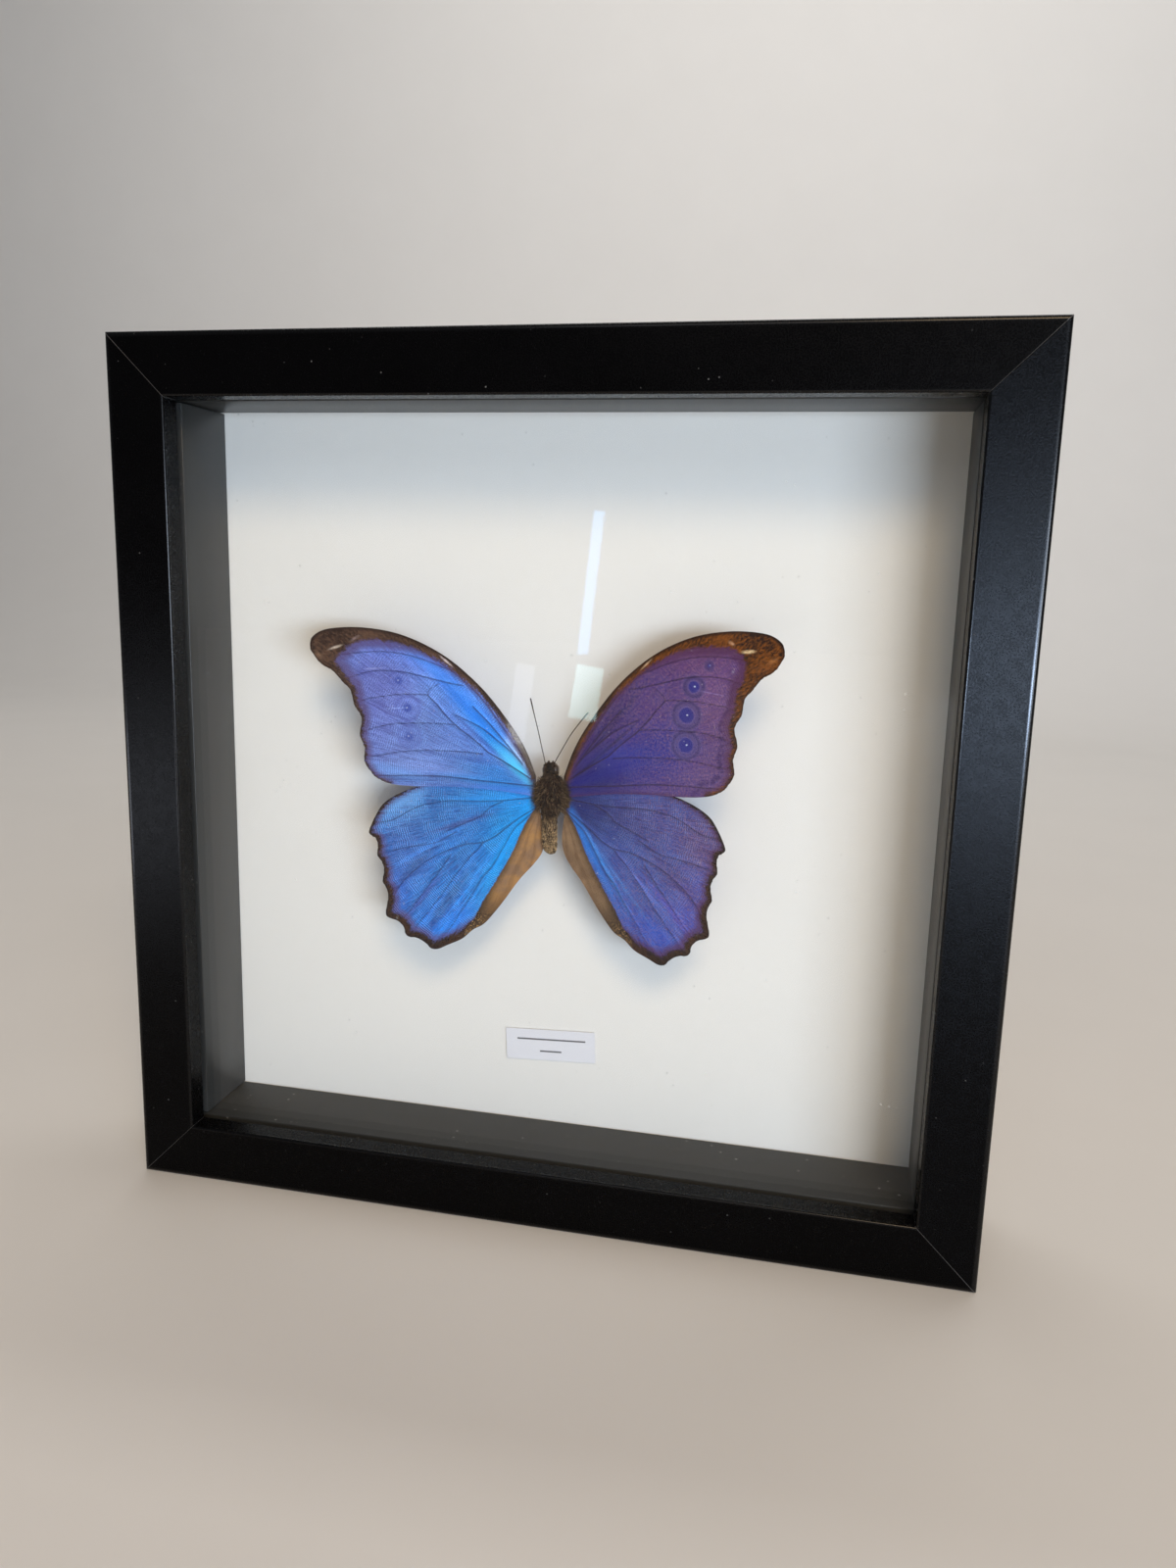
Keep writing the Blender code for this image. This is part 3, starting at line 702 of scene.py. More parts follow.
class Scales(Finish):
    """The upper side of a wing. Its colour is built up in coats, each laid over the ones before; painted
    sheen, highlights and shade are among the coats.
    """

    def __init__(self, name, ground, marks):
        super().__init__(name, {"Specular IOR Level": 0.2})
        self.marks = marks
        self.plan = self.mark("plan", "Vector")
        self.x, self.y, self.rib = self.parts(self.plan)
        self.reach, self.angle, self.near = self.parts(self.mark("ray", "Vector"))
        self.to_margin, self.to_front, _ = self.parts(self.mark("edge", "Vector"))
        self.drift = self.noise(7.0, 3.0, self.plan)
        self.wander = self.noise(1.6, 3.0, self.plan)
        self.grit = self.noise(0.42, 3.0, self.plan, 0.7)
        self.along_ribs = self.vector(self.reach * 0.055, self.angle * 0.75, 0.0)
        self.streak = self.noise(1.0, 4.0, self.along_ribs, 0.65)
        self.fine_streak = self.noise(0.32, 3.0, self.along_ribs, 0.6)
        self.colour = paint(*ground)

    def over(self, amount, colour):
        self.colour = self.mix(amount, self.colour, colour)

    def blob(self, spot, half_width, half_height, tilt=0.0, soft=0.6):
        """1 inside an oval on the wing and 0 outside it, with a soft edge."""
        lean, rise = math.cos(math.radians(tilt)), math.sin(math.radians(tilt))
        along = ((self.x - spot[0]) * lean + (self.y - spot[1]) * rise) / half_width
        across = ((self.y - spot[1]) * lean - (self.x - spot[0]) * rise) / half_height
        return self.fade((along * along + across * across) ** 0.5, 1 - soft, 1 + soft, 1.0, 0.0)

    def wash(self, washes, soft, broken):
        """Soft oval washes of colour, broken up by streaks or grain."""
        for spot, half_width, half_height, tilt, strength, tint in washes:
            self.over(self.blob(spot, half_width, half_height, tilt, soft) * broken * strength, paint(*tint))

    def texture(self, ripples, streaks):
        """Rows of scales: streaks along the ribs, fine ripples across them with painted highlight on their
        crests and painted shade between, and grit.
        """
        self.deep = self.node("ShaderNodeVectorMath", {"operation": "MULTIPLY"},
                              {0: self.colour, 1: (0.42, 0.36, 0.50)})
        pale = self.node("ShaderNodeVectorMath", {"operation": "MULTIPLY_ADD"},
                         {0: self.colour, 1: (1.30, 1.40, 1.20), 2: (0.05, 0.08, 0.10)})
        self.over(self.fade(self.streak, 0.46, 0.62, 0.0, 0.80 * streaks), self.deep)
        self.over(self.fade(self.fine_streak, 0.48, 0.60, 0.0, 0.70 * streaks), self.deep)
        self.over(self.fade(self.fine_streak, 0.46, 0.34, 0.0, 0.60 * streaks), pale)
        # The ripples are rows of scales; their pale crests are painted highlights and their troughs painted
        # shade.
        phase = self.reach * (2 * math.pi / 0.62) + self.drift * 16 + self.wander * 5 + self.streak * 9
        patch = self.fade(self.noise(4.5, 2.0, self.plan), 0.38, 0.62) * self.fade(self.reach, 6.0, 16.0)
        patch = patch * ripples
        self.ripple = (self.wave(phase) * 0.5 + 0.5) * patch
        self.over(self.ripple * 0.75, pale)
        self.over((patch - self.ripple) * 0.5, self.deep)
        self.over(self.fade(self.grit, 0.50, 0.66, 0.0, 0.80), self.deep)
        self.over(self.fade(self.grit, 0.42, 0.30, 0.0, 0.60), pale)

    def bloom(self):
        """Where scales have rubbed off, a paler bloom that grows toward the margin, and painted sheen:
        streaks of reflected light laid on as colour.
        """
        amount, tint = self.marks["frost"]
        rubbed = self.fade(self.noise(0.7, 5.0, self.plan, 0.85), 0.44, 0.66)
        rubbed = rubbed * self.fade(self.reach, 12.0, 36.0, 0.15, 1.0)
        self.over(rubbed * amount, paint(*tint))
        # Painted sheen: bright streaks of light on the scales, laid on as colour.
        self.wash(self.marks["glow"], 0.9, 0.55 + self.fine_streak * 0.9)
        band = abs(self.to_margin - 3.9 + (self.wander - 0.5) * 1.5)
        band = self.fade(band, 0.4, 1.3, self.marks["band"], 0.0)
        self.over(band * self.fade(self.wander, 0.35, 0.6), self.deep)

    def rings(self, shown):
        """Eye spots: a halo, a dark circle, a blue heart and a pale pupil."""
        for spot, ring, core, strength in self.marks["rings"]:
            away = self.node("ShaderNodeVectorMath", {"operation": "DISTANCE"},
                             {0: self.vector(self.x, self.y, 0.0), 1: (*spot, 0.0)}, out="Value")
            away = away + self.wander * 0.5 - 0.25
            strength = strength * shown
            halo = self.fade(away, ring + 1.3, ring, 0.0, 1.0)
            circle = self.fade(abs(away - ring), 0.05, 0.80, 1.0, 0.0)
            inner = self.fade(abs(away - core * 1.35), 0.1, 0.5, 1.0, 0.0)
            heart = self.fade(away, core + 0.35, core - 0.35, 0.0, 1.0)
            self.over(halo * 0.45 * strength, paint(*self.marks["halo"]))
            self.over(circle * (0.95 - self.wander * 0.6) * strength * shown, paint(*self.marks["circle"]))
            self.over(inner * 0.35 * strength, paint(*self.marks["circle"]))
            self.over(heart * 0.80 * min(1.0, strength * 1.6), paint(*self.marks["heart"]))
            pupil = self.blob((spot[0] + 0.2, spot[1] + 0.1), 0.26, 0.20, 0.0, 0.6)
            self.over(pupil * min(1.0, ring / 2.5) * 0.8 * strength, (0.72, 0.78, 0.92))
        rib_shade = self.fade(self.near + self.wander * 0.15, 0.12, 0.42, self.marks["rib_shade"], 0.0)
        self.over(rib_shade, paint(*self.marks["rib"]))

    def border(self, dark, light):
        """The brown border, frayed where it meets the blue, with its powder and its pale marks."""
        depth = self.mark("brown")
        ragged = (self.noise(0.7, 5.0, self.plan, 0.85) - 0.5) * 4.6 + (self.streak - 0.5) * 2.6
        edge = depth + ragged * self.fade(depth, -2.0, 1.0, 0.3, 1.0)
        tip = self.fade(self.reach, 42.0, 60.0, 0.0, 1.5)
        dusky = self.fade(edge + tip, -2.0, 0.5, 0.0, 0.75)
        self.brown_cover = self.fade(edge, -0.55, 0.55)
        self.fur = self.noise(0.45, 4.0, self.vector(self.reach * 0.35, self.angle * 0.9, 0.0), 0.7)
        bark = self.mix(self.fade(self.fur * 0.7 + self.drift * 0.3, 0.40, 0.62), paint(*dark), paint(*light))
        bark = self.mix(self.fade(self.to_margin, 0.9, 0.15, 0.0, 0.7), bark, paint(*dark))
        bark = self.mix(self.fade(self.to_front, 1.15, 0.35, 0.0, 0.85), bark, paint(*dark))
        self.over(dusky, paint(*self.marks["dusk"]))
        self.over(self.brown_cover, bark)
        powder = self.specks(1.0, 0.045, self.plan) * (1 - self.brown_cover * 0.4)
        self.over(powder * 0.42, paint(0.78, 0.74, 0.76))
        broken = self.fade(self.noise(0.7, 3.0, self.plan, 0.7), 0.36, 0.58, 0.35, 1.0)
        self.wash(self.marks["pale"], 0.8, broken)

    def tan(self, fair, golden, brown, dark):
        """The bare tan fold beside the body, with painted shade along its creases, and the dark root of the
        wing.
        """
        depth = self.mark("tan")
        edge = depth + (self.noise(1.1, 3.0, self.plan, 0.6) - 0.5) * 0.9
        self.tan_cover = self.fade(edge, -0.15, 0.3)
        buff = self.fade(self.noise(5.0, 4.0, self.plan, 0.6), 0.36, 0.64)
        buff = self.mix(buff, paint(*fair), paint(*golden))
        fibres = self.noise(0.4, 4.0, self.along_ribs, 0.6)
        buff = self.mix(self.fade(fibres, 0.5, 0.75, 0.0, 0.45), buff, paint(*brown))
        buff = self.mix(self.fade(self.y, -27.0, -40.0, 0.0, 0.85), buff, paint(*dark))
        rim = self.fade(depth + (self.drift - 0.5) * 2.0, -0.2, 2.4, 0.75, 0.0)
        buff = self.mix(rim, buff, paint(*dark))
        # Painted fold shade: darker brown bands where the tan fold creases.
        painted_fold_shade = self.wave(self.angle * 0.55 + self.drift * 5.0)
        buff = self.mix(self.fade(painted_fold_shade, 0.2, 1.0, 0.0, 0.35), buff, paint(*brown))
        flecks = self.fade(self.noise(0.45, 3.0, self.plan, 0.7), 0.54, 0.62)
        flecks = flecks * self.blob((23.5, -41.0), 6.0, 2.6, -38.0, 0.5)
        buff = self.mix(flecks * 0.7, buff, paint(0.85, 0.66, 0.42))
        self.over(self.tan_cover, buff)
        root_edge = self.reach + (self.noise(0.9, 3.0, self.plan, 0.7) - 0.5) * 3.0
        self.root_cover = self.fade(root_edge, 1.0, 4.2, 0.9, 0.0)
        self.over(self.root_cover, paint(0.17, 0.11, 0.10))

    def wire_up(self, metal):
        """Only the scales shine. The ribs, the border, the tan fold and the root are dull."""
        dull = self.maths("MAXIMUM", self.brown_cover, self.tan_cover)
        self.over(self.rib * (0.75 - 0.3 * dull), paint(*self.marks["rib"]))
        self.put("Base Color", self.colour)
        shine = (1 - dull) * (1 - self.root_cover)
        self.put("Metallic", shine * (1 - self.rib) * metal)
        self.put("Roughness", 0.62 - shine * 0.16 + self.grit * 0.12)
        bumps = self.ripple * shine * 0.9 + self.grit * 0.35 + self.fine_streak * 0.35 + self.fur * dull * 0.5
        self.relief(bumps, 0.11 * MM)


# Colours as they are seen: the wing's own marks with light painted in. The left wings are painted as
# the lit side, azure with painted cyan and white highlights near the roots, and the right wings as the
# shaded side, violet; the scales of both sides are the same blue. A wash, a painted sheen or a pale
# mark: its middle, half width, half height and tilt on the wing, its strength and its colour. A ring:
# its middle, outer and inner radius, strength.
LIT_BLUE_MARKS = {
    "rings": [((42.8, 32.2), 2.6, 1.1, 0.9), ((40.7, 24.3), 3.4, 1.2, 1.0), ((40.6, 16), 3.3, 1.1, 0.8)],
    "band": 0.0, "frost": (0.25, (0.60, 0.62, 0.88)),
    "glow": [((20, 21), 17, 2.4, 51, 0.60, (0.00, 0.54, 1.00)),
             ((33, 36), 10, 1.8, 38, 0.45, (0.30, 0.58, 1.00)),
             ((9.5, 7.5), 7, 1.5, 47, 0.70, (0.30, 0.82, 1.00)),
             ((18, 3.2), 14, 1.1, 8, 0.40, (0.10, 0.60, 0.96)),
             ((15, 0.9), 15, 1.2, 1, 0.70, (0.12, 0.47, 0.85)),
             ((46, 6), 8, 1.4, 12, 0.40, (0.45, 0.68, 0.98))],
    "halo": (0.38, 0.43, 0.80), "circle": (0.24, 0.22, 0.56), "heart": (0.16, 0.24, 0.62),
    "rib": (0.12, 0.11, 0.30), "rib_shade": 0.72, "dusk": (0.36, 0.28, 0.45),
    "pale": [((60.5, 41.6), 1.7, 0.32, -18, 0.9, (0.80, 0.74, 0.68)),
             ((54.6, 44.2), 1.3, 0.35, -30, 0.5, (0.66, 0.58, 0.58)),
             ((65.5, 39.3), 1.1, 0.5, 40, 0.5, (0.62, 0.50, 0.40)),
             ((29.0, 37.9), 1.9, 0.28, 42, 0.8, (0.86, 0.80, 0.80)),
             ((9.6, 16.2), 4.2, 0.75, 60, 0.75, (0.70, 0.69, 0.68)),
             ((6.2, 9.3), 4.2, 0.75, 66, 0.6, (0.45, 0.42, 0.40)),
             ((50.0, 35.6), 2.2, 0.22, -4, 0.5, (0.70, 0.74, 0.92)),
             ((44.0, 24.2), 2.6, 0.14, -3, 0.7, (0.66, 0.76, 0.98))]}
SHADED_VIOLET_MARKS = {
    "rings": [((42.8, 32.2), 2.7, 1.6, 1.0), ((40.7, 24.3), 3.7, 2.1, 1.0), ((40.6, 16), 3.7, 2.0, 1.0),
              ((47, 38), 0.95, 0.42, 0.8)],
    "band": 0.75, "frost": (0.60, (0.60, 0.44, 0.50)),
    "glow": [((14, 6), 14, 1.6, 20, 0.40, (0.05, 0.12, 0.55)),
             ((22, 12.5), 10, 2.2, 12, 0.35, (0.16, 0.22, 0.62)),
             ((15, 0.9), 15, 1.1, 1, 0.60, (0.14, 0.15, 0.48))],
    "halo": (0.40, 0.36, 0.58), "circle": (0.21, 0.15, 0.36), "heart": (0.08, 0.12, 0.50),
    "rib": (0.16, 0.10, 0.18), "rib_shade": 0.68, "dusk": (0.33, 0.18, 0.30),
    "pale": [((57.9, 42.0), 1.5, 0.42, 4, 1.0, (0.90, 0.78, 0.60)),
             ((53.2, 44.2), 0.8, 0.40, -30, 0.8, (0.78, 0.60, 0.46)),
             ((64.6, 39.6), 1.3, 0.5, 30, 0.6, (0.66, 0.44, 0.25)),
             ((29.0, 38.0), 1.8, 0.22, 44, 0.8, (0.80, 0.68, 0.56)),
             ((47.8, 30.6), 3.2, 0.16, -10, 0.5, (0.62, 0.55, 0.76)),
             ((62.0, 37.6), 2.6, 1.2, 10, 0.35, (0.50, 0.30, 0.16))]}
FORE_LIT_BLUE = [
    ((18, 20), 24, 9, 52, 0.85, (0.31, 0.60, 1.00)),
    ((38, 40), 18, 5, 18, 0.75, (0.44, 0.60, 1.00)),
    ((9, 8.5), 7, 3.4, 50, 1.0, (0.83, 0.90, 0.93)),
    ((15, 14), 10, 2.0, 47, 0.7, (0.00, 0.72, 1.00)),
    ((14, 5.5), 14, 3.5, 12, 0.8, (0.13, 0.53, 0.86)),
    ((32, 3.2), 24, 1.6, 1, 0.55, (0.00, 0.39, 0.70)),
    ((50, 30), 9, 14, 0, 0.55, (0.41, 0.38, 0.75)),
    ((52, 12), 5, 10, 0, 0.45, (0.42, 0.49, 0.80)),
    ((30, 16), 12, 7, 10, 0.6, (0.36, 0.51, 0.81)),
    ((17, 13), 12, 0.6, 42, 0.7, (0.22, 0.36, 0.70)),
    ((23, 24), 14, 0.8, 48, 0.6, (0.24, 0.42, 0.86)),
    ((30, 33), 9, 0.7, 38, 0.7, (0.44, 0.66, 1.0)),
    ((22, 9.5), 10, 0.8, 8, 0.6, (0.22, 0.38, 0.72))]
FORE_SHADED_VIOLET = [
    ((16, 7.0), 22, 6.5, 22, 0.85, (0.00, 0.07, 0.42)),
    ((29, 13), 14, 8, 5, 0.85, (0.20, 0.20, 0.58)),
    ((27, 22), 7, 5, 45, 0.6, (0.20, 0.16, 0.54)),
    ((17, 21), 16, 5, 55, 0.75, (0.19, 0.09, 0.39)),
    ((31, 27), 8, 4, 45, 0.7, (0.31, 0.20, 0.48)),
    ((50, 32), 9, 12, 0, 0.6, (0.46, 0.30, 0.51)),
    ((49, 9), 8, 6, 0, 0.65, (0.37, 0.26, 0.49)),
    ((42, 40), 12, 4, 10, 0.5, (0.38, 0.18, 0.36)),
    ((50, 22), 4, 9, 0, 0.45, (0.39, 0.25, 0.46)),
    ((17, 13.4), 11, 0.5, 42, 0.7, (0.12, 0.08, 0.28)),
    ((20, 22), 13, 0.6, 50, 0.5, (0.14, 0.10, 0.34)),
    ((53.2, 20), 0.9, 10, 2, 0.6, (0.30, 0.22, 0.52))]
HIND_LIT_BLUE = [
    ((9, -6), 12, 5, -45, 1.0, (0.00, 0.63, 0.95)),
    ((15, -21), 17, 4.5, -62, 0.95, (0.09, 0.62, 0.96)),
    ((14, -1), 12, 3.5, -2, 0.8, (0.14, 0.66, 1.00)),
    ((33, -6), 15, 8, -12, 0.75, (0.22, 0.49, 0.78)),
    ((44, -6), 8, 5, -40, 0.65, (0.42, 0.69, 0.95)),
    ((44, -20), 8, 12, 0, 0.55, (0.29, 0.42, 0.74)),
    ((32, -42), 10, 7, -40, 0.8, (0.17, 0.54, 0.98)),
    ((41, -24), 11, 1.1, -44, 0.75, (0.20, 0.40, 0.67)),
    ((30, -33), 10, 1.5, -55, 0.65, (0.20, 0.42, 0.66)),
    ((28, -20), 10, 2.0, -42, 0.5, (0.16, 0.48, 0.77)),
    ((46, -33), 4, 8, 10, 0.6, (0.21, 0.46, 0.89)),
    ((22, -26), 17, 0.7, -56, 0.6, (0.16, 0.62, 1.0)),
    ((36, -17), 12, 0.7, -32, 0.6, (0.30, 0.62, 1.0)),
    ((26, -9.5), 9, 0.8, -20, 0.7, (0.26, 0.36, 0.66)),
    ((38, -33), 9, 0.8, -52, 0.7, (0.26, 0.34, 0.68)),
    ((21, -36), 8, 1.0, -60, 0.5, (0.20, 0.66, 1.0))]
HIND_SHADED_VIOLET = [
    ((14, -5), 12, 6, -15, 0.8, (0.00, 0.05, 0.39)),
    ((32, -6), 14, 7, -10, 0.7, (0.30, 0.31, 0.58)),
    ((46, -13), 6, 8, 0, 0.7, (0.41, 0.32, 0.53)),
    ((9.5, -12.5), 9, 1.6, -60, 0.9, (0.16, 0.50, 0.86)),
    ((17, -24), 15, 3.6, -58, 0.85, (0.21, 0.46, 0.84)),
    ((30, -40), 10, 6, -42, 0.75, (0.24, 0.36, 0.78)),
    ((44, -32), 6, 9, 10, 0.6, (0.36, 0.38, 0.81)),
    ((24, -14), 12, 3, -30, 0.5, (0.26, 0.36, 0.66)),
    ((40, -24), 10, 3, -45, 0.55, (0.34, 0.29, 0.53)),
    ((33, -30), 12, 1.2, -52, 0.6, (0.27, 0.41, 0.80)),
    ((16.5, -20), 13, 0.55, -60, 0.9, (0.22, 0.58, 0.94)),
    ((21.5, -24.5), 15, 0.5, -52, 0.7, (0.30, 0.55, 0.90)),
    ((30, -27), 13, 0.5, -48, 0.6, (0.36, 0.46, 0.84)),
    ((38, -33), 10, 0.8, -50, 0.6, (0.40, 0.38, 0.84))]
LEFT_BORDER = ((0.17, 0.11, 0.085), (0.37, 0.27, 0.21))
RIGHT_BORDER = ((0.14, 0.065, 0.015), (0.48, 0.265, 0.05))
HIND_BORDER = ((0.10, 0.055, 0.04), (0.28, 0.17, 0.10))
LEFT_TAN = ((0.53, 0.41, 0.31), (0.66, 0.49, 0.30), (0.40, 0.28, 0.18))
RIGHT_TAN = ((0.46, 0.36, 0.27), (0.55, 0.44, 0.33), (0.33, 0.23, 0.15))

underside = Finish("wing_underside")
plan = underside.mark("plan", "Vector")
bands = underside.noise(6.0, 4.0, plan)
powder = underside.noise(0.3, 3.0, plan, 0.6)
brown = underside.mix(underside.fade(bands, 0.4, 0.6), paint(0.30, 0.20, 0.12), paint(0.44, 0.33, 0.22))
underside.put("Base Color", underside.mix(powder * 0.4, brown, paint(0.56, 0.46, 0.33)))
underside.put("Roughness", 0.62 + powder * 0.2)
underside.relief(powder, 0.03 * MM)

FORE = (FORE_FRONT, FORE_MARGIN, FORE_REAR)
HIND = (HIND_FRONT, HIND_MARGIN, HIND_REAR)
HIND_LEFT = (HIND_FRONT, HIND_MARGIN, HIND_REAR_LEFT)
# Painted sheen on the hind wings: bright streaks of reflected light, stronger on the lit left side.
HIND_PAINTED_SHEEN = {
    "left": [((11, -13), 15, 1.8, -62, 0.55, (0.00, 0.66, 1.00)),
             ((16, -2), 12, 1.3, -3, 0.45, (0.10, 0.62, 0.98)),
             ((42, -3), 7, 1.6, -30, 0.40, (0.50, 0.72, 0.96)),
             ((30, -42), 8, 2.4, -40, 0.40, (0.14, 0.58, 1.00))],
    "right": [((11.5, -14.5), 13, 0.9, -62, 0.45, (0.12, 0.52, 0.92)),
              ((34, -40), 8, 2.2, -40, 0.30, (0.22, 0.42, 0.92))]}

# Each wing: its edges, its ribs, how much wider than the outline it is all over and more so toward
# the head, its ground colour and its washes (painted lit azure on the left and painted shaded violet on
# the right), and how strong its ripples and its streaks are.
wings = [
    ("forewing_left", "left", FORE, FORE_RIBS, (0.005, 0.03), (0.50, 0.61, 0.90), FORE_LIT_BLUE, 0.65, 0.7),
    ("forewing_right", "right", FORE, FORE_RIBS, (-0.015, -0.01), (0.33, 0.24, 0.52), FORE_SHADED_VIOLET, 0.35, 0.4),
    ("hindwing_left", "left", HIND_LEFT, HIND_RIBS, (0.034, 0.0), (0.16, 0.52, 0.88), HIND_LIT_BLUE, 1.0, 1.0),
    ("hindwing_right", "right", HIND, HIND_RIBS, (-0.028, 0.0), (0.26, 0.36, 0.69), HIND_SHADED_VIOLET, 0.8, 1.0)]
for node, side, edges, ribs, spread, ground, washes, ripples, streaks in wings:
    wing = Wing(side, edges, ribs, spread, node.startswith("hind")).model(f"{node}_scaled")
    # The left wings take the painted lit colours, the right wings the painted shaded ones.
    left = side == "left"
    marks = dict(LIT_BLUE_MARKS if left else SHADED_VIOLET_MARKS)
    border = LEFT_BORDER if left else RIGHT_BORDER
    if node.startswith("hind"):
        border = HIND_BORDER
        marks.update(rings=[], pale=[], glow=HIND_PAINTED_SHEEN[side], rib_shade=0.6, band=0.0)
    scales = Scales(f"{node}_scales", ground, marks)
    scales.wash(washes, 0.75, 0.75 + scales.streak * 0.5)
    scales.texture(ripples, streaks)
    scales.bloom()
    scales.rings(0.55 if left else 1.0)
    scales.border(*border)
    scales.tan(*(LEFT_TAN if left else RIGHT_TAN), border[0])
    scales.wire_up(0.45 if left else 0.30)
    wear(wing, scales, node)
    wing.data.materials.append(underside.material)
    activate(wing)
    bpy.ops.object.shade_smooth_by_angle(angle=math.radians(40))


# ---- Body: a dried body with a furry dark thorax, two dull compound eyes and a ringed abdomen
# clothed in flat gold and dark scales. Its hairs lie back toward the tail and over the wing roots.

# Stations down the body, in millimetres: how far up, the radius, and how far aside the middle is.
BODY_STATIONS = [(9.0, 0.25, 0.1), (8.7, 1.1, 0.1), (8.2, 1.7, 0.1), (7.4, 2.0, 0.15), (6.4, 2.05, 0.15),
    (5.7, 1.8, 0.1), (5.3, 1.8, 0.1), (4.6, 2.4, 0.2), (3.2, 3.1, 0.3), (1, 3.4, 0.35), (-1.5, 3.3, 0.35),
    (-3.6, 2.8, 0.2), (-5, 2.2, 0), (-6, 2.0, -0.2), (-8, 2.05, -0.35), (-11, 2.15, -0.4),
    (-14, 2.1, -0.35), (-16, 1.8, -0.2), (-17.1, 1.15, 0), (-17.6, 0.2, 0.1)]
chance = np.random.default_rng(11)


def in_frame(local):
    """From the specimen's own axes, in millimetres, to places in the frame."""
    return (local * MM) @ np.array(SPECIMEN.to_3x3()).T + np.array(SPECIMEN.translation)


def body_skin(station, turn):
    """A place on the body's skin, for a share of its length from the head and a turn about it."""
    line = smooth_line(BODY_STATIONS, 6)
    shares = np.linspace(0, 1, len(line))
    y, radius, centre = (np.interp(station, shares, line[:, axis]) for axis in range(3))
    rings = np.where(y < -5.2, 0.10 * np.abs(np.sin((y + 5.2) * math.pi / 1.75)) - 0.05, 0.0)
    radius = np.maximum(radius + rings, 0.02)
    hump = np.where(np.sin(turn) > 0, 0.92 + 0.10 * np.exp(-((y - 0.5) / 3.5) ** 2), 0.84)
    return np.stack((centre + radius * np.cos(turn), y, radius * hump * np.sin(turn)), axis=-1)


stations, turns = np.meshgrid(np.linspace(0, 1, 110), np.linspace(0, 2 * math.pi, 49), indexing="ij")
skin = body_skin(stations, turns)
on_abdomen = skin[..., 1] < -4.5
core = sheet("body_core", in_frame(skin), tint=np.full(stations.shape, 0.25), gold=on_abdomen * 0.8)
tidy_shell(core)
activate(core)
bpy.ops.object.mode_set(mode="EDIT")
bpy.ops.mesh.select_all(action="SELECT")
bpy.ops.mesh.fill_holes(sides=60)
bpy.ops.mesh.normals_make_consistent(inside=False)
bpy.ops.object.mode_set(mode="OBJECT")

# Two eyes, and in front of them two short palps: how far out, place, half sizes, and steps round.
HEAD_PARTS = [(1.45, (0.15, 7.2, 0.45), (0.85, 1.15, 1.05), 28, 18),
              (0.62, (0.10, 8.75, -0.25), (0.42, 0.95, 0.45), 16, 12)]
eyes = []
for out, place, half_sizes, around, along in HEAD_PARTS:
    for aside in (-1, 1):
        deselect()
        bpy.ops.mesh.primitive_uv_sphere_add(segments=around, ring_count=along, radius=1)
        knob = bpy.context.object
        knob.scale = Vector(half_sizes) * MM
        settle(knob)
        knob.data.transform(SPECIMEN @ Matrix.Translation(Vector((aside * out + place[0], *place[1:])) * MM))
        eyes.append(knob)


def coat(name, roots, headings, lengths, widths, tints, golds):
    """Hairs or narrow scales: one three-sided blade, copied to every root and turned its own way."""
    deselect()
    bpy.ops.mesh.primitive_cone_add(vertices=3, radius1=1, radius2=0, depth=1, end_fill_type="NOTHING")
    blade = bpy.context.object
    shape = np.array([vertex.co for vertex in blade.data.vertices]) + (0, 0, 0.5)
    faces = np.array([face.vertices for face in blade.data.polygons])
    bpy.data.objects.remove(blade)
    ahead = headings / np.linalg.norm(headings, axis=1)[:, None]
    aside = np.cross(ahead, chance.normal(size=ahead.shape))
    aside /= np.linalg.norm(aside, axis=1)[:, None]
    above = np.cross(ahead, aside)
    aside = aside * widths[:, None]
    above = above * widths[:, None] * 0.5
    axes = np.stack((aside, above, ahead * lengths[:, None]), axis=1)
    corners = roots[:, None] + np.einsum("vk,nkd->nvd", shape, axes)
    many = (faces[None] + np.arange(len(roots))[:, None, None] * len(shape)).reshape(-1, 3)
    mesh = bpy.data.meshes.new(name)
    mesh.from_pydata(in_frame(corners.reshape(-1, 3)).tolist(), [], many.tolist())
    for key, values in (("tint", tints), ("gold", golds)):
        layer = mesh.attributes.new(key, "FLOAT", "POINT")
        layer.data.foreach_set("value", np.repeat(values, len(shape)).astype(np.float32))
    piece = bpy.data.objects.new(name, mesh)
    bpy.context.scene.collection.objects.link(piece)
    return piece


def clumped(roots):
    """Tints that go light and dark in small tufts, with a little chance in each."""
    x, y, z = roots.T
    tuft = np.sin(5.3 * x + 2.1 * np.sin(3.7 * y)) * np.sin(4.6 * y + 1.9 * np.sin(4.1 * x + z))
    return np.clip(0.48 + 0.36 * tuft + chance.normal(0, 0.26, len(roots)), 0, 1)


def skin_hairs(name, count, first, last, length, width, lift, back, gold):
    """Hairs rooted over a stretch of the body, from a first to a last share of its length."""
    station = chance.uniform(first, last, count)
    turn = chance.uniform(-0.35, math.pi + 0.35, count)
    roots = body_skin(station, turn)
    around = body_skin(station, turn + 0.02) - roots
    down = body_skin(np.minimum(station + 0.004, 1.0), turn) - roots
    outward = np.cross(around, down)
    outward /= np.linalg.norm(outward, axis=1)[:, None] + 1e-9
    outward *= np.sign((outward * (roots - (0.1, 0, 0)) * (1, 0, 1)).sum(axis=1))[:, None]
    headings = outward * lift + np.array((0, -back, 0)) + chance.normal(0, 0.28, roots.shape)
    lengths = length * chance.uniform(0.6, 1.3, count)
    golds = gold * np.clip((-roots[:, 1] - 2) / 10, 0.3, 1)
    return coat(name, roots - outward * 0.05, headings, lengths, np.full(count, width), clumped(roots), golds)


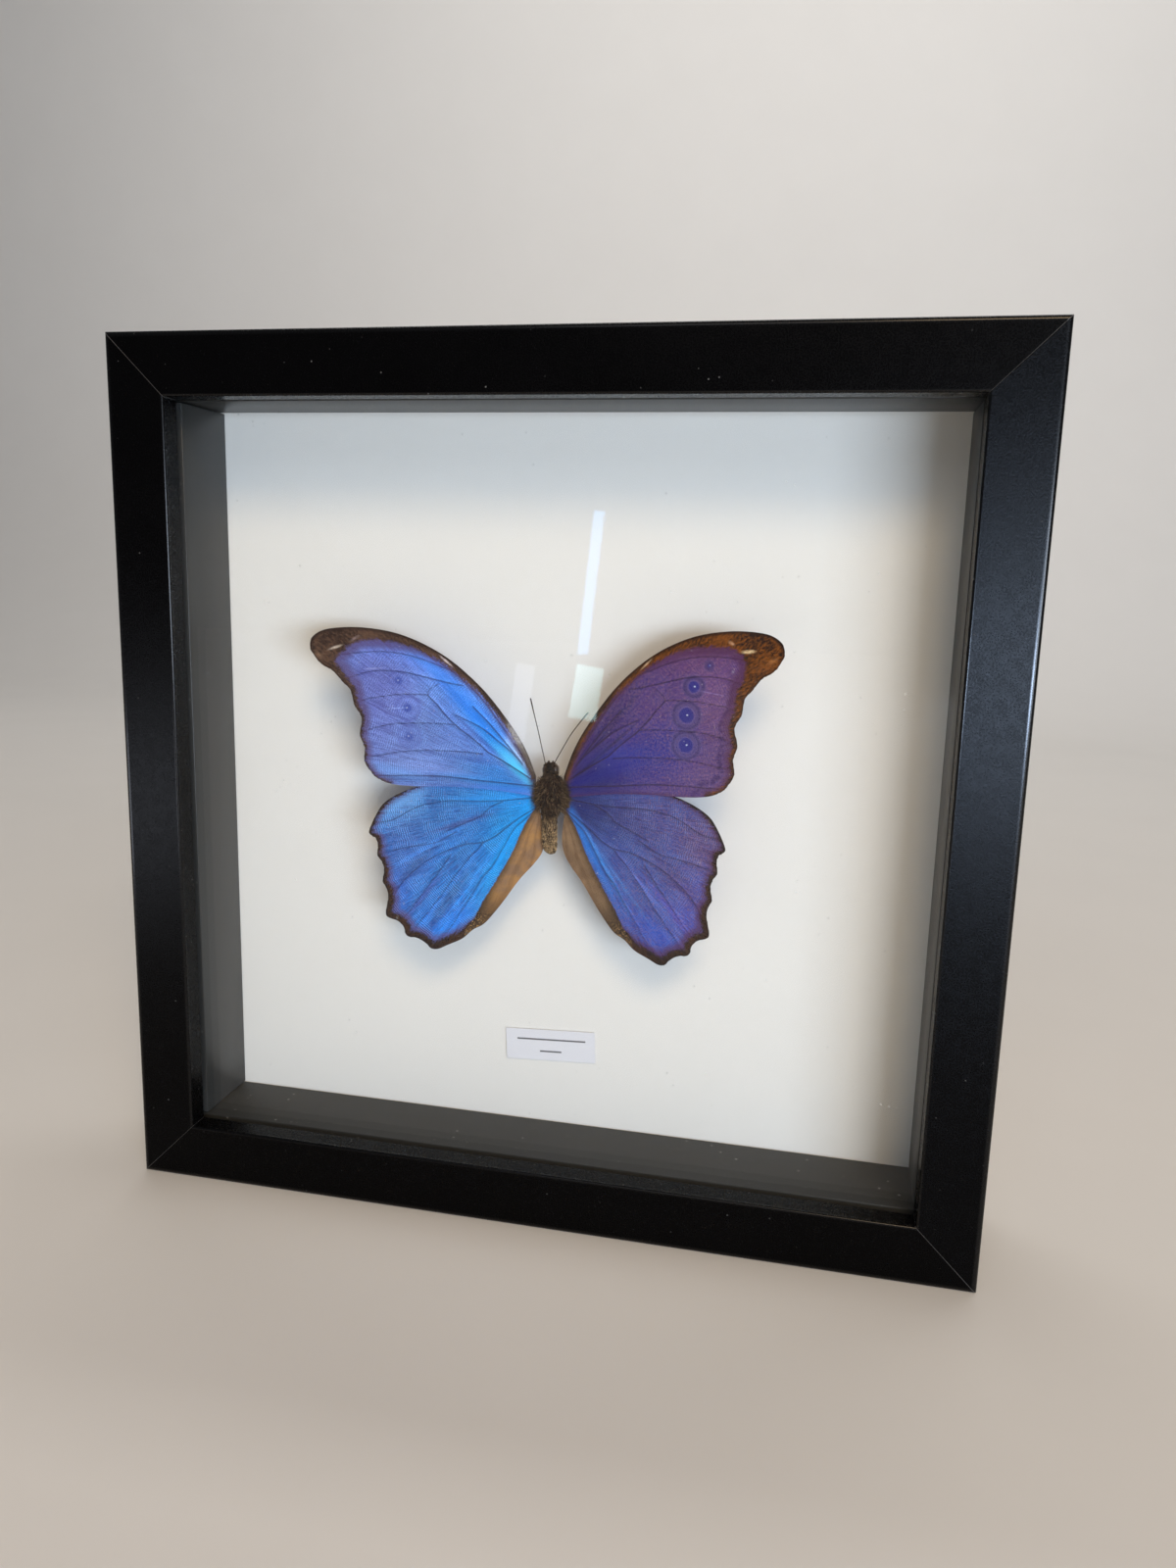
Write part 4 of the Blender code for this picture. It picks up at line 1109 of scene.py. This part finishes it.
def root_hairs(name, aside, count):
    """Longer hairs that reach from the thorax over the root of the wings on one side."""
    y = np.clip(chance.normal(0.3, 1.9, count), -5.2, 4.8)
    bulge = np.sqrt(np.clip(1 - ((y - 0.2) / 5.8) ** 2, 0, 1))
    out = aside * (3.4 + 0.2 * aside) * bulge * chance.uniform(0.75, 1.0, count) + 0.3
    roots = np.stack((out, y, chance.uniform(-0.4, 1.1, count)), axis=1)
    headings = np.stack((np.full(count, aside * 0.9), y * 0.10 - 0.45, np.full(count, 0.10)), axis=1)
    headings += chance.normal(0, 0.34, roots.shape)
    lengths = (0.6 + 2.3 * bulge) * chance.uniform(0.35, 1.35, count)
    return coat(name, roots, headings, lengths, np.full(count, 0.075), clumped(roots), np.full(count, 0.12))


fur = Finish("brown_fur", {"Specular IOR Level": 0.15})
tint = fur.mark("tint")
gold = fur.mark("gold")
cloud = fur.noise(0.7 * MM, 2.0)
dark = fur.mix(fur.fade(tint, 0.25, 0.85), paint(0.045, 0.018, 0.008), paint(0.26, 0.145, 0.085))
# The palest tufts are paler hairs with painted glints on them.
dark = fur.mix(fur.fade(tint, 0.86, 0.94), dark, paint(0.60, 0.50, 0.38))
worn = fur.fade(tint + (cloud - 0.5) * 0.6, 0.34, 0.62)
bright = fur.mix(worn, paint(0.19, 0.13, 0.085), paint(0.70, 0.59, 0.44))
fur.put("Base Color", fur.mix(gold, dark, bright))
fur.put("Roughness", 0.55 + cloud * 0.2)

facets = Finish("eye_facets", {"Coat Roughness": 0.25})
cells = facets.cells(0.09 * MM)
facets.put("Base Color", facets.mix(cells, paint(0.13, 0.09, 0.07), paint(0.24, 0.17, 0.13)))
facets.put("Roughness", 0.32 + cells * 0.2)
facets.put("Coat Weight", 0.3 + cells * 0.1)
facets.relief(cells, 0.02 * MM)

coats = [
    skin_hairs("head_hairs", 1800, 0.02, 0.33, 0.60, 0.07, 1.0, 0.1, 0.0),
    skin_hairs("thorax_hairs", 7000, 0.27, 0.68, 1.05, 0.085, 0.60, 0.80, 0.0),
    skin_hairs("waist_hairs", 2200, 0.58, 0.74, 1.0, 0.08, 0.35, 1.0, 0.45),
    skin_hairs("abdomen_scales", 6000, 0.68, 0.985, 0.50, 0.15, 0.34, 1.0, 1.0),
    root_hairs("left_root_hairs", -1, 2600),
    root_hairs("right_root_hairs", 1, 2600)]
body = join(core, *coats)
wear(body, fur, "body")
body.name = "furred_body"
for piece in eyes:
    cover(piece, facets)
join(body, *eyes)


# ---- Feelers: two thin dark shafts of short rings, a little thicker toward the end. They are set in
# the front of the head, and rise toward the glass as they spread.
FEELER_PLACES = 190
ROUND_PLACES = 11
FEELERS = {
    "left": [(-1.4, 8.0, 0.6), (-1.4, 9.6, 1.0), (-2.2, 14, 1.6), (-3.0, 18.8, 2.4), (-3.9, 23.5, 3.2),
             (-4.7, 28.0, 4.0)],
    "right": [(1.3, 8.0, 0.6), (1.7, 9.6, 1.0), (3.8, 13.2, 1.6), (6.6, 17.7, 2.4), (9.4, 21.3, 3.2),
              (12.0, 24.4, 4.0)]}
shaft = Finish("feeler_shaft", {"Specular IOR Level": 0.15})
shaft.put("Base Color", shaft.mix(shaft.mark("tint"), paint(0.15, 0.10, 0.08), paint(0.31, 0.23, 0.19)))
shaft.put("Roughness", 0.5 + shaft.noise(0.3 * MM) * 0.2)
for side, points in FEELERS.items():
    line = evenly(smooth_line(points), FEELER_PLACES)
    ahead = np.gradient(line, axis=0)
    ahead /= np.linalg.norm(ahead, axis=1)[:, None]
    beside = np.cross(ahead, (0, 0, 1))
    beside /= np.linalg.norm(beside, axis=1)[:, None]
    above = np.cross(beside, ahead)
    share = np.linspace(0, 1, FEELER_PLACES)
    ring = np.where(np.arange(FEELER_PLACES) % 4 == 0, 0.82, 1.0)
    radius = (0.13 + 0.07 * np.clip((share - 0.72) / 0.2, 0, 1)) * ring
    radius[0] = radius[-1] = 0.02
    turn = np.linspace(0, 2 * math.pi, ROUND_PLACES)
    round_it = beside[:, None] * np.cos(turn)[None, :, None] + above[:, None] * np.sin(turn)[None, :, None]
    table = line[:, None] + round_it * radius[:, None, None]
    shade = np.repeat(1 - ring[:, None] * 0.9, ROUND_PLACES, axis=1)
    feeler = sheet(f"feeler_{side}", in_frame(table), tint=shade)
    tidy_shell(feeler, outward=True)
    bpy.ops.object.shade_smooth_by_angle(angle=math.radians(60))
    wear(feeler, shaft, f"antenna_{side}")


# ---- Foam block: a small block of white foam, glued to the card and under the thorax, so that the
# specimen is held off the card.
foam = Finish("mount_foam")
bubble = foam.cells(0.35 * MM)
foam.put("Base Color", foam.mix(bubble, paint(0.90, 0.89, 0.86), paint(0.80, 0.79, 0.76)))
foam.put("Roughness", 0.8 + bubble * 0.15)
foam.relief(bubble, 0.06 * MM)
block = copy_of("foam_block", "foam_block_glued")
ease_edges(block, 0.3 * MM, 3)
wear(block, foam, "foam_block")


# ---- Label: a slip of thin white paper, glued a little askew on the card with its corners lifting.
# It bears two plain ruled lines.
LABEL = (28.6, 10.0)
PAPER = 0.07 * MM
LABEL_PLACE = (MIDDLE.x - 2.6 * MM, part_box("label")[1].y, MIDDLE.z - 82.3 * MM)
LABEL_TURN = Matrix.Translation(LABEL_PLACE) @ Matrix.Rotation(math.radians(-3), 4, "Y")
wide, tall = np.meshgrid(np.linspace(-0.5, 0.5, 90) * LABEL[0], np.linspace(-0.5, 0.5, 34) * LABEL[1])
curl = 0.05 * np.abs(wide / (LABEL[0] / 2)) ** 3 * (tall < 0)
curl = curl + 0.04 * np.clip(-tall / (LABEL[1] / 2), 0, 1) ** 4 + 0.012 * np.sin(wide * 0.9)
curl = np.clip(curl, 0, 0.1) + 0.08
table = np.stack((wide, -curl, tall), axis=-1) * MM
table = table @ np.array(LABEL_TURN.to_3x3()).T + np.array(LABEL_TURN.translation)
slip = sheet("label_slip", table, plan=np.stack((wide, tall, wide * 0), axis=-1))
modify(slip, "SOLIDIFY", thickness=PAPER, offset=1.0)
bpy.ops.object.shade_smooth_by_angle(angle=math.radians(40))
paper = Finish("label_paper", {"Specular IOR Level": 0.25})
plan = paper.mark("plan", "Vector")
x, y, _ = paper.parts(plan)
pulp = paper.noise(0.5, 4.0, plan, 0.6)
ragged = (paper.noise(0.3, 3.0, plan) - 0.5) * 0.16
ruled = []
# Each line: how far aside and how far up its middle is, and half its length.
for middle, height, half_length in ((0.3, 1.75, 10.9), (0.0, -2.15, 3.4)):
    across_it = paper.fade(abs(y - height) + ragged, 0.20, 0.32, 1.0, 0.0)
    ruled.append(across_it * paper.fade(abs(x - middle), half_length, half_length + 0.1, 1.0, 0.0))
white = paper.mix(pulp, paint(0.872, 0.876, 0.905), paint(0.892, 0.896, 0.925))
paper.put("Base Color", paper.mix((ruled[0] + ruled[1]) * 0.85, white, paint(0.16, 0.16, 0.17)))
paper.put("Roughness", 0.75 + pulp * 0.15)
paper.relief(pulp, 0.02 * MM)
wear(slip, paper, "label")


# ---- Back: a hardboard panel behind the card, held by eight bent spring tabs pressed into the
# rails, with a notched steel hanger riveted to it.
hardboard = Finish("hardboard")
weave = hardboard.noise(0.6 * MM, 4.0, roughness=0.7)
stain = hardboard.noise(35 * MM, 3.0)
strand = hardboard.noise(3.5 * MM, 4.0, roughness=0.75)
tone = hardboard.mix(stain, paint(0.47, 0.34, 0.23), paint(0.54, 0.40, 0.28))
tone = hardboard.mix(hardboard.fade(strand, 0.5, 0.7, 0.0, 0.6), tone, paint(0.36, 0.25, 0.16))
hardboard.put("Base Color", hardboard.mix(weave * 0.5, tone, paint(0.62, 0.49, 0.35)))
hardboard.put("Roughness", 0.62 + weave * 0.25)
hardboard.relief(weave * 0.6 + strand * 0.4, 0.08 * MM)
panel = copy_of("back_panel", "hardboard_panel")
ease_edges(panel, 0.3 * MM)
wear(panel, hardboard, "back_panel")

steel = Finish("zinc_steel", {"Metallic": 1.0})
smear = steel.noise(4 * MM, 3.0)
brushed = {"Vector": steel.place(), "Scale": 1 / (0.25 * MM), "Detail": 3.0, "Distortion": 1.5}
scratch = steel.node("ShaderNodeTexNoise", inputs=brushed)
steel.put("Base Color", steel.mix(smear, paint(0.66, 0.67, 0.68), paint(0.76, 0.77, 0.78)))
steel.put("Roughness", 0.28 + smear * 0.12 + scratch * 0.12)
steel.relief(scratch, 0.01 * MM)
hardware = [f"tab_{side}_{number}" for side in ("bottom", "left", "top", "right") for number in (1, 2)]
for node in (*hardware, "hanger"):
    fitting = copy_of(node, f"{node}_pressed")
    ease_edges(fitting, 0.12 * MM)
    wear(fitting, steel, node)
for node in ("hanger_rivet_left", "hanger_rivet_right"):
    rivet = copy_of(node, f"{node}_domed")
    ease_edges(rivet, 0.1 * MM, 3)
    wear(rivet, steel, node)


# ---- Floor and light: a pale floor that curves up into a pale wall, under a large cool light from
# the right and a smaller warm one from above. Three faint strips show only in the glass, as the
# window it mirrors, and two low lights put a sheen on one rail each.
deselect()
bpy.ops.mesh.primitive_plane_add(size=1, location=(0, -0.4, 0))
floor = bpy.context.object
floor.name = "floor"
floor.scale = (7, 4.4, 1)
settle(floor)
bpy.ops.object.mode_set(mode="EDIT")
pick_edges(floor, lambda middle, along: middle.y > 1.7)
bpy.ops.mesh.extrude_region_move(TRANSFORM_OT_translate={"value": (0, 0, 3.2)})
pick_edges(floor, lambda middle, along: middle.y > 1.7 and middle.z < 0.01)
bpy.ops.mesh.bevel(offset=0.7, segments=24)
bpy.ops.object.mode_set(mode="OBJECT")
bpy.ops.object.shade_smooth()
pale = Finish("pale_floor", {"Roughness": 0.8})
shade = pale.noise(80 * MM, 3.0)
pale.put("Base Color", pale.mix(shade, (0.76, 0.75, 0.73), (0.79, 0.78, 0.76)))
cover(floor, pale)


def add_light(name, place, size, power, colour, target):
    """A soft rectangular light that looks at a target."""
    lamp = bpy.data.lights.new(name, "AREA")
    lamp.shape = "RECTANGLE"
    lamp.size, lamp.size_y = size
    lamp.energy = power
    lamp.color = colour
    light = bpy.data.objects.new(name, lamp)
    bpy.context.scene.collection.objects.link(light)
    light.location = place
    light.rotation_euler = (Vector(target) - Vector(place)).to_track_quat("-Z", "Y").to_euler()
    light.visible_camera = False
    return light


def only_for(light, name, thing):
    """Let a light show on one thing alone, and there only as a mirrored shine."""
    receivers = bpy.data.collections.new(name)
    receivers.objects.link(thing)
    light.light_linking.receiver_collection = receivers
    light.visible_diffuse = False


WALL_MIDDLE = (0, 1.8, 0.5)
add_light("window_light", (0.90, -1.33, 0.14), (0.95, 0.34), 21.0, (0.73, 0.84, 1.0), MIDDLE)
add_light("warm_light", (0.42, -1.13, 1.17), (0.58, 0.40), 9.3, (1.0, 0.70, 0.37), MIDDLE)
add_light("ceiling_fill", (0.25, -1.3, 1.1), (1.4, 0.8), 4.6, (0.94, 0.95, 1.0), MIDDLE)
add_light("wall_light", (0.0, 0.55, 1.7), (1.6, 0.5), 14.0, (1.0, 0.97, 0.93), WALL_MIDDLE)
MIRRORED_AT = -0.9
for name, place, size, lean, power, colour in (
        ("window_bar", (-0.178, 0.175), (0.0116, 0.150), 5.4, 0.058, (0.25, 0.54, 1.0)),
        ("window_pane", (-0.180, 0.0595), (0.030, 0.058), 8.0, 0.047, (0.54, 0.93, 1.0)),
        ("window_haze", (-0.254, 0.036), (0.0213, 0.103), 7.4, 0.020, (0.72, 0.78, 1.0))):
    x, z = place
    mirrored = add_light(name, (x, MIRRORED_AT, z), size, power, colour, (x, 0.0, z))
    mirrored.rotation_euler.rotate_axis("Z", math.radians(-lean))
    only_for(mirrored, f"{name}_mirror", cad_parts["glass_pane"])
for name, side, place, size, power, colour in (
        ("right_sheen", "right", (0.30, -1.34, 0.035), (0.30, 0.13), 20.0, (0.57, 0.73, 1.0)),
        ("left_sheen", "left", (-0.33, -0.36, 0.04), (0.16, 0.09), 0.42, (0.80, 0.86, 1.0))):
    sheen = add_light(name, place, size, power, colour, MIDDLE)
    only_for(sheen, f"{side}_rail_only", rails[side])

# The room is dim, and pale where the camera sees it past the floor.
world = bpy.data.worlds.new("pale_room")
bpy.context.scene.world = world
room = Nodes(world, "Background")
room.put("Color", (0.88, 0.92, 1.0))
room.put("Strength", room.node("ShaderNodeLightPath", out="Is Camera Ray") * 0.50 + 0.14)
bpy.context.scene.view_settings.view_transform = "Standard"
